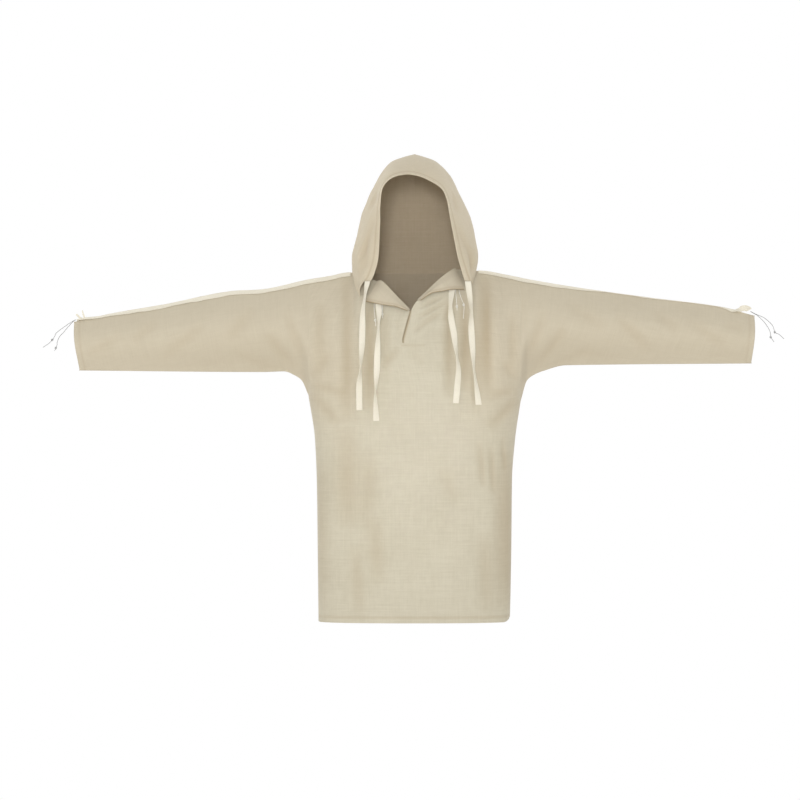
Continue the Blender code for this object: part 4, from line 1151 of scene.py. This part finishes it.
# %% Ties
TAPE_WALL = 0.0008
TAPE_WIDTH = 0.013
TIE_CLEARANCE = 0.0035
TIE_FORWARD = 0.0925
TIE_ACROSS = np.linspace(-0.5, 0.5, 7)
TURN_SCALE = 0.001           # a degree of turn counts as a millimetre of route
TIES = {
    "tie_hood_right": ((-0.1023, -0.0165, 25), (-0.1079, -0.048, 68),
                       (-0.1123, -0.0813, 45), (-0.1136, -0.1143, 10),
                       (-0.1146, -0.1469, -10), (-0.1168, -0.1881, -62),
                       (-0.1179, -0.2098, -75), (-0.1205, -0.2359, -30),
                       (-0.1207, -0.2576, -5), (-0.1201, -0.2974, 0)),
    "tie_neck_right": ((-0.0784, -0.056, 0), (-0.0784, -0.07, 5),
                       (-0.0772, -0.086, 30), (-0.0779, -0.1078, 70),
                       (-0.079, -0.136, 55), (-0.0814, -0.181, 5),
                       (-0.0821, -0.2033, -8), (-0.0851, -0.252, -75),
                       (-0.0858, -0.272, -62), (-0.0836, -0.3206, -10)),
    "tie_neck_left": ((0.0815, -0.03, -8), (0.0812, -0.038, 15),
                      (0.0782, -0.0702, 55), (0.0804, -0.1034, 8),
                      (0.0849, -0.1295, -10), (0.0882, -0.1588, -48),
                      (0.0915, -0.181, -70), (0.0949, -0.2098, -40),
                      (0.0925, -0.2468, -5), (0.0897, -0.282, 20)),
    "tie_hood_left": ((0.116, -0.0165, 0), (0.1201, -0.048, 30),
                      (0.1236, -0.0813, 62), (0.1236, -0.1251, 8),
                      (0.126, -0.1655, -30), (0.1282, -0.2055, -70),
                      (0.1325, -0.2359, -60), (0.1392, -0.2852, -5)),
}


def line_length(points):
    return float(np.linalg.norm(np.diff(points, axis=0), axis=1).sum())


def tie(name):
    """A hanging tape. Its turn in degrees, times TURN_SCALE, is smoothed along with its route."""
    route = smooth_route([(x, z, turn * TURN_SCALE) for x, z, turn in TIES[name]], 80)
    x, z, angle = route[:, 0], route[:, 1], np.radians(route[:, 2] / TURN_SCALE)
    depth = body_depth(x, z, "front") + TIE_CLEARANCE + abs(np.sin(angle)) * TAPE_WIDTH / 2
    if "hood" in name:
        depth = np.maximum(depth, TIE_FORWARD)
    middle = np.stack([x, -depth, z], axis=1)[:, None]
    across = np.stack([np.cos(angle), -np.sin(angle), 0 * angle], axis=1)[:, None]
    cupped = 0.0006 * (1 - 4 * TIE_ACROSS ** 2)[None, :, None] * np.array((0.0, -1.0, 0.0))
    grid = middle + across * (TIE_ACROSS * TAPE_WIDTH)[None, :, None] + cupped
    obj = cloth(f"{name}_tape", grid, tape_cloth, TAPE_WALL, 1)
    long = round(line_length(middle[:, 0]), 3)
    return declare(obj, name, (TAPE_WIDTH, long))


ties = {name: tie(name) for name in TIES}

# %% [markdown]
# ## Tape along the shoulders
# The same tape is folded over the top edge from the hood to the cuff. It is laid by eye, so it
# wanders across the fold, and here and there it shows narrower from the front.

# %% Shoulder tapes
TAPE_START = 0.1405
TAPE_END = {1: 0.7, -1: 0.7435}
TAPE_ON_FRONT = {
    1: ((0.14, 0.0085), (0.25, 0.0098), (0.33, 0.009), (0.36, 0.0072), (0.39, 0.004),
        (0.42, 0.0024), (0.6, 0.0014), (0.66, 0.002), (0.685, 0.0046), (0.7, 0.008)),
    -1: ((0.14, 0.0118), (0.27, 0.0126), (0.318, 0.0108), (0.36, 0.0124), (0.406, 0.0116),
         (0.43, 0.0126), (0.472, 0.0124), (0.494, 0.0098), (0.538, 0.01), (0.56, 0.0112),
         (0.585, 0.0116), (0.604, 0.0094), (0.626, 0.0108), (0.648, 0.008), (0.7, 0.0066),
         (0.725, 0.006), (0.744, 0.005)),
}
TAPE_OFF = 0.0011            # of the tape's outer face off the linen
TAPE_CURL = (
    ((0.709, -0.0008, -0.077), (0.0, 0.9, 0.4)),
    ((0.714, -0.001, -0.0762), (0.0, 0.75, 0.62)),
    ((0.718, -0.0018, -0.0743), (-0.1, 0.38, 0.92)),
    ((0.723, -0.0022, -0.0732), (-0.1, 0.2, 0.97)),
    ((0.7285, -0.0022, -0.073), (0.08, 0.14, 0.98)),
    ((0.7328, -0.0015, -0.0743), (0.34, 0.12, 0.92)),
    ((0.7352, -0.0005, -0.0758), (0.65, 0.12, 0.72)),
    ((0.7364, 0.0, -0.0772), (0.86, 0.12, 0.45)),
)
TAPE_TAILS = {
    "tape_tail_right_upper": (((-0.734, 0.0, -0.0957), 0.0062), ((-0.7372, 0.0, -0.093), 0.0058),
                              ((-0.741, 0.0, -0.0893), 0.0055), ((-0.744, 0.0, -0.0862), 0.005)),
    "tape_tail_right_lower": (((-0.7262, 0.0, -0.0937), 0.0046), ((-0.728, 0.0, -0.0893), 0.0046),
                              ((-0.7298, 0.0, -0.0835), 0.0038), ((-0.7312, 0.0, -0.0779), 0.002)),
}
TAPE_LONG = {1: 0.62, -1: 0.612}
TAPE_POINTS = 15
TAPE_PITCH = 0.0025          # between the tape's rows
TAPE_REACH = 0.022           # of the section's line each side of the ridge


def top_section(side, out):
    """The garment's section across its top fold at one place out: points (y, z), front to back."""
    w = 1 - np.linspace(0.0, 0.42, 90) ** 2
    x = np.full(w.shape, side * out)
    if out < ARMHOLE_X:
        low, top = armpit_z(x), by_side(SHOULDER, x)
        halves = [upper_depth(x, w, face) for face in FACING]
    else:
        low, top = smooth_between(UNDERARM[side], abs(x)), smooth_between(SHOULDER[side], abs(x))
        halves = [sleeve_section(abs(x), w)] * 2
    z = low + (top - low) * w
    front_half = np.stack([-halves[0], z], axis=1)[::-1]
    back_half = np.stack([halves[1], z], axis=1)[1:]
    return np.vstack([front_half, back_half])


def tape_row(side, out, front_arc, back_arc):
    """One row of the tape: the section's line, rounded at the top and moved out."""
    line = top_section(side, out)
    along = run_along(line)
    ridge = along[len(line) // 2]
    fine = np.linspace(ridge - TAPE_REACH, ridge + TAPE_REACH, 177)
    y, z = np.interp(fine, along, line[:, 0]), np.interp(fine, along, line[:, 1])
    soft = np.hanning(15) / np.hanning(15).sum()
    y, z = (np.convolve(np.pad(c, 7, mode="edge"), soft, mode="valid") for c in (y, z))
    dy, dz = np.gradient(y), np.gradient(z)
    size = np.hypot(dy, dz)
    y, z = y - dz / size * TAPE_OFF, z + dy / size * TAPE_OFF + 0.0006
    at = np.linspace(ridge - front_arc, ridge + back_arc, TAPE_POINTS)
    return np.stack([np.full(at.shape, side * out), np.interp(at, fine, y),
                     np.interp(at, fine, z)], axis=1)


def shoulder_tape(side):
    """Rows out along the ridge. The left tape's free end then curls up at the cuff."""
    rows = []
    for out in np.arange(TAPE_START, TAPE_END[side], TAPE_PITCH):
        front_arc = float(smooth_between(TAPE_ON_FRONT[side], out))
        front_arc += 0.0012 * float(waves(out, 0.0, 0.024, 91 + side))
        row = tape_row(side, out, front_arc, TAPE_WIDTH - front_arc)
        puff = 0.0005 * float(waves(out, 0.0, 0.012, 95 + side))
        bend = np.linspace(1, 0, TAPE_POINTS) ** 2
        row[:, 1] -= bend * (abs(puff) + 0.0002)
        if side < 0:
            row[:, 2] += 0.0042 * float(smooth_step(0.69, 0.735, out))
        rows.append(row)
    if side > 0:
        keys = [rows[-1].reshape(-1)]
        for middle, direction in TAPE_CURL:
            across = unit(np.array(direction)) * TAPE_WIDTH
            keys.append((np.array(middle) + np.linspace(-0.5, 0.5, TAPE_POINTS)[:, None]
                         * across).reshape(-1))
        curl = smooth_route(keys, 40).reshape(-1, TAPE_POINTS, 3)
        rows += list(curl[1:])
    grid = np.array(rows)
    name = f"tape_{SIDE_NAME[side]}"
    obj = cloth(f"{name}_twill", grid, tape_cloth, TAPE_WALL, -side)
    for edge in (0, 1):
        sideways = grid.transpose(1, 0, 2)[::(-1, 1)[edge]]
        turned = (side, -side)[edge]
        stitch_lines.append((f"edge_{name}_{edge}", *hem_line(sideways, turned, 0.0014), 0.004))
    return declare(obj, name, (TAPE_WIDTH, TAPE_LONG[side]))


def tape_tail(name):
    """A narrow flat point of tape."""
    keys = []
    for middle, width in TAPE_TAILS[name]:
        half = np.array((0.75, -0.35, 0.35)) * width / 2
        keys.append((np.array(middle) + np.linspace(-1, 1, 5)[:, None] * half).reshape(-1))
    grid = smooth_route(keys, 22).reshape(-1, 5, 3)
    obj = cloth(f"{name}_twill", grid, tape_cloth, TAPE_WALL, 1)
    long = line_length(grid[:, 2])
    steps = np.linalg.norm(np.diff(grid, axis=1), axis=2).sum(axis=1)
    return declare(obj, name, (0.01, round(long, 4)),
                   area=round(long * float(steps.mean()), 6))


tapes = {side: shoulder_tape(side) for side in (1, -1)}
tails = {name: tape_tail(name) for name in TAPE_TAILS}

# %% [markdown]
# ## Draw cords
# Thin twisted cords come out of the tape's ends at the cuffs, and from under the lapels. Each
# has a real overhand knot, made by bending the same cord round itself, and a bare cut end.

# %% Draw cords
CORD_RADIUS = 0.0006
CORD_SIDES = 8
KNOT_SCALE = 0.00088
CUFF_CORDS = {
    "cord_cuff_right_a": (0.07, ((-0.7448, -0.0022, -0.0986), (-0.75, -0.0022, -0.1006),
                                  (-0.7632, -0.002, -0.109), (-0.7777, -0.001, -0.1192),
                                  (-0.7887, -0.002, -0.1287), (-0.7927, -0.003, -0.1379),
                                  (-0.803, -0.003, -0.1496), (-0.8173, -0.002, -0.1591))),
    "cord_cuff_right_b": (0.079, ((-0.7448, 0.0022, -0.0986), (-0.75, 0.0022, -0.101),
                                  (-0.7614, 0.003, -0.1133), (-0.7724, 0.003, -0.1261),
                                  (-0.7817, 0.002, -0.1364), (-0.7861, 0.003, -0.1481),
                                  (-0.7869, 0.0035, -0.1549), (-0.792, 0.003, -0.1668))),
    "cord_cuff_left_a": (0.074, ((0.739, -0.0022, -0.08), (0.7524, -0.0022, -0.0868),
                                 (0.7685, -0.002, -0.0939), (0.7819, -0.001, -0.1049),
                                 (0.7887, -0.002, -0.1133), (0.7929, -0.003, -0.1261),
                                 (0.8023, -0.003, -0.1311), (0.8125, -0.002, -0.1404))),
    "cord_cuff_left_b": (0.076, ((0.739, 0.0022, -0.08), (0.7524, 0.0022, -0.0878),
                                 (0.759, 0.0025, -0.0931), (0.7685, 0.003, -0.1023),
                                 (0.7786, 0.0025, -0.1166), (0.7836, 0.003, -0.1287),
                                 (0.7839, 0.0035, -0.1362), (0.7913, 0.003, -0.1472))),
}
NECK_CORDS = {               # here the middle number is the lift off the front
    "cord_neck_left_a": (0.043, ((0.09, 0.003, -0.03), (0.0894, 0.0035, -0.0381),
                                 (0.0911, 0.004, -0.0577), (0.0922, 0.004, -0.0733),
                                 (0.0925, 0.0035, -0.08))),
    "cord_neck_left_b": (0.04, ((0.0965, 0.003, -0.03), (0.0972, 0.0035, -0.0381),
                                 (0.1017, 0.004, -0.0533), (0.1072, 0.004, -0.0679),
                                 (0.1072, 0.004, -0.082), (0.1061, 0.0035, -0.0979))),
    "cord_neck_right_a": (0.028, ((-0.07, 0.003, -0.061), (-0.0702, 0.0035, -0.07),
                                  (-0.0702, 0.0035, -0.0879), (-0.0698, 0.003, -0.097))),
    "cord_neck_right_b": (0.043, ((-0.0885, 0.003, -0.06), (-0.088, 0.003, -0.076),
                                  (-0.0868, 0.003, -0.093), (-0.085, 0.003, -0.105),
                                  (-0.0847, 0.003, -0.1142))),
}


def overhand(heading, upward, aside):
    """An open overhand knot round the origin, entered and left along heading."""
    t = np.linspace(-2.05, 2.05, 60)[:, None]
    along = t ** 3 - 3 * t
    out = t ** 4 - 4 * t ** 2 + 2.0 * np.exp(-(t / 1.9) ** 6)
    over = (t ** 5 - 10 * t) * 0.105
    return (along * heading + out * aside + over * upward) * KNOT_SCALE


def tube(name, path, finish):
    """A round cord: rings square to the path, with closed ends."""
    heading = np.gradient(path, axis=0)
    heading /= np.linalg.norm(heading, axis=1, keepdims=True)
    side = np.cross(heading[0], (0.3, 1.0, 0.2))
    points, centres = [], [path[0] - heading[0] * 0.0001, *path, path[-1] + heading[-1] * 0.0001]
    for k, centre in enumerate(centres):
        h = heading[min(max(k - 1, 0), len(path) - 1)]
        side = unit(side - h * np.dot(side, h))
        other = np.cross(h, side)
        radius = CORD_RADIUS if 0 < k < len(centres) - 1 else CORD_RADIUS * 0.5
        for i in range(CORD_SIDES):
            a = 2 * math.pi * i / CORD_SIDES
            points.append(centre + (side * math.cos(a) + other * math.sin(a)) * radius)
    grid = np.array(points).reshape(-1, CORD_SIDES, 3)
    v = run_along(np.array(centres))
    u = np.linspace(0, 1, CORD_SIDES + 1)
    uv = np.stack(np.broadcast_arrays(u[None, :], v[:, None]), axis=2)
    obj = cloth(name, grid, finish, 0.0, -1, closed=True, uv=uv)
    apply_caps(obj)
    return obj, np.array(centres)


def apply_caps(obj):
    """Closes both ends of a tube with a flat face."""
    select_only(obj)
    bpy.ops.object.mode_set(mode="EDIT")
    bpy.ops.mesh.select_mode(type="EDGE")
    bpy.ops.mesh.select_all(action="DESELECT")
    bpy.ops.mesh.select_non_manifold()
    bpy.ops.mesh.edge_face_add()
    bpy.ops.mesh.select_all(action="SELECT")
    bpy.ops.mesh.normals_make_consistent(inside=False)
    bpy.ops.object.mode_set(mode="OBJECT")
    obj.select_set(False)


def cord(name):
    """A cord with its knot tied in at the given distance from where it comes out."""
    if name in CUFF_CORDS:
        knot_at, points = CUFF_CORDS[name]
    else:
        knot_at, points = NECK_CORDS[name]
        points = [(x, -float(body_depth(x, z, "front")) - lift, z) for x, lift, z in points]
    fine = smooth_route(points, 500)
    along = run_along(fine)
    at = int(np.searchsorted(along, knot_at))
    heading = unit(fine[at + 3] - fine[at - 3])
    aside = unit(np.cross(heading, (0.0, 1.0, 0.0)))
    knot = fine[at] + overhand(heading, np.cross(aside, heading), aside)
    reach = 2.9 * KNOT_SCALE
    before = fine[along < knot_at - reach][::6]
    after = fine[along > knot_at + reach][::6]
    loose = np.random.RandomState(len(name) + at).normal(0, 0.00016, (len(before), 3))
    loose[:3] = 0
    path = np.vstack([before + loose, knot, after, fine[-1:]])
    finish = cuff_cord_finish if name in CUFF_CORDS else neck_cord_finish
    obj, centres = tube(f"{name}_string", path, finish)
    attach(obj, "root")
    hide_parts(name)
    return obj


cords = {name: cord(name) for name in (*CUFF_CORDS, *NECK_CORDS)}

# %% [markdown]
# ## Stitching
# One stitch is modelled once, a short rounded bar of thread. It is copied along the hems, the
# shoulder tapes' edges, the hood's lower edge, the foot of one side seam and the facing under
# the slit. Each row of stitches is one mesh.

# %% Stitching
STITCH_LONG = 0.0026
bpy.ops.mesh.primitive_cylinder_add(vertices=6, radius=0.00024, depth=STITCH_LONG,
                                    location=(0.0, 0.0, 0.0))
pattern = bpy.context.object
pattern.name = "stitch_pattern"
bpy.ops.object.mode_set(mode="EDIT")
bpy.ops.mesh.select_mode(type="FACE")
bpy.ops.mesh.select_all(action="SELECT")
bpy.ops.mesh.bevel(offset=0.00008, segments=1)
bpy.ops.object.mode_set(mode="OBJECT")
stitch_points = np.array([tuple(v.co) for v in pattern.data.vertices])
stitch_faces = [tuple(p.vertices) for p in pattern.data.polygons]
bpy.data.objects.remove(pattern, do_unlink=True)


def sew(name, points, ups, pitch, finish):
    """One mesh of stitches along a line, spaced a little unevenly, as by hand."""
    along = run_along(points)
    random = np.random.RandomState(len(points))
    vertices, faces = [], []
    for at in np.arange(pitch, along[-1] - pitch / 2, pitch):
        at += random.normal(0, pitch * 0.03)
        place, ahead, up = (np.array([np.interp(s, along, table[:, k]) for k in range(3)])
                            for s, table in ((at, points), (at + pitch * 0.4, points), (at, ups)))
        heading = unit(ahead - place)
        up = unit(up - heading * np.dot(up, heading))
        side = np.cross(up, heading)
        first = len(vertices) * len(stitch_points)
        local = stitch_points @ np.array([side, up * 0.8, heading])
        vertices.append(place + up * 0.00012 + local)
        faces += [tuple(i + first for i in face) for face in stitch_faces]
    mesh = bpy.data.meshes.new(f"stitches_{name}")
    mesh.from_pydata(np.vstack(vertices).tolist(), [], faces)
    mesh.materials.append(finish)
    mesh.shade_smooth()
    obj = add_object(f"stitches_{name}", mesh)
    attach(obj, "root")
    return len(vertices)


side_z = np.linspace(-0.66, HEM_Z + 0.013, 40)
side_row = front_surface(half_width(side_z, 0.2) - 0.009, side_z)
stitch_lines.append(("side", side_row, np.tile((0.0, -1.0, 0.0), (40, 1)), 0.004))
facing_x = np.linspace(-0.0276, 0.0203, 30)
facing = front_surface(facing_x, np.full(30, FACING_PLACE[1]))
stitch_lines.append(("facing", facing, np.tile((0.0, -1.0, 0.0), (30, 1)), 0.0032))
sewn = sum(sew(*line, thread_finish) for line in stitch_lines)
print("stitches:", sewn)
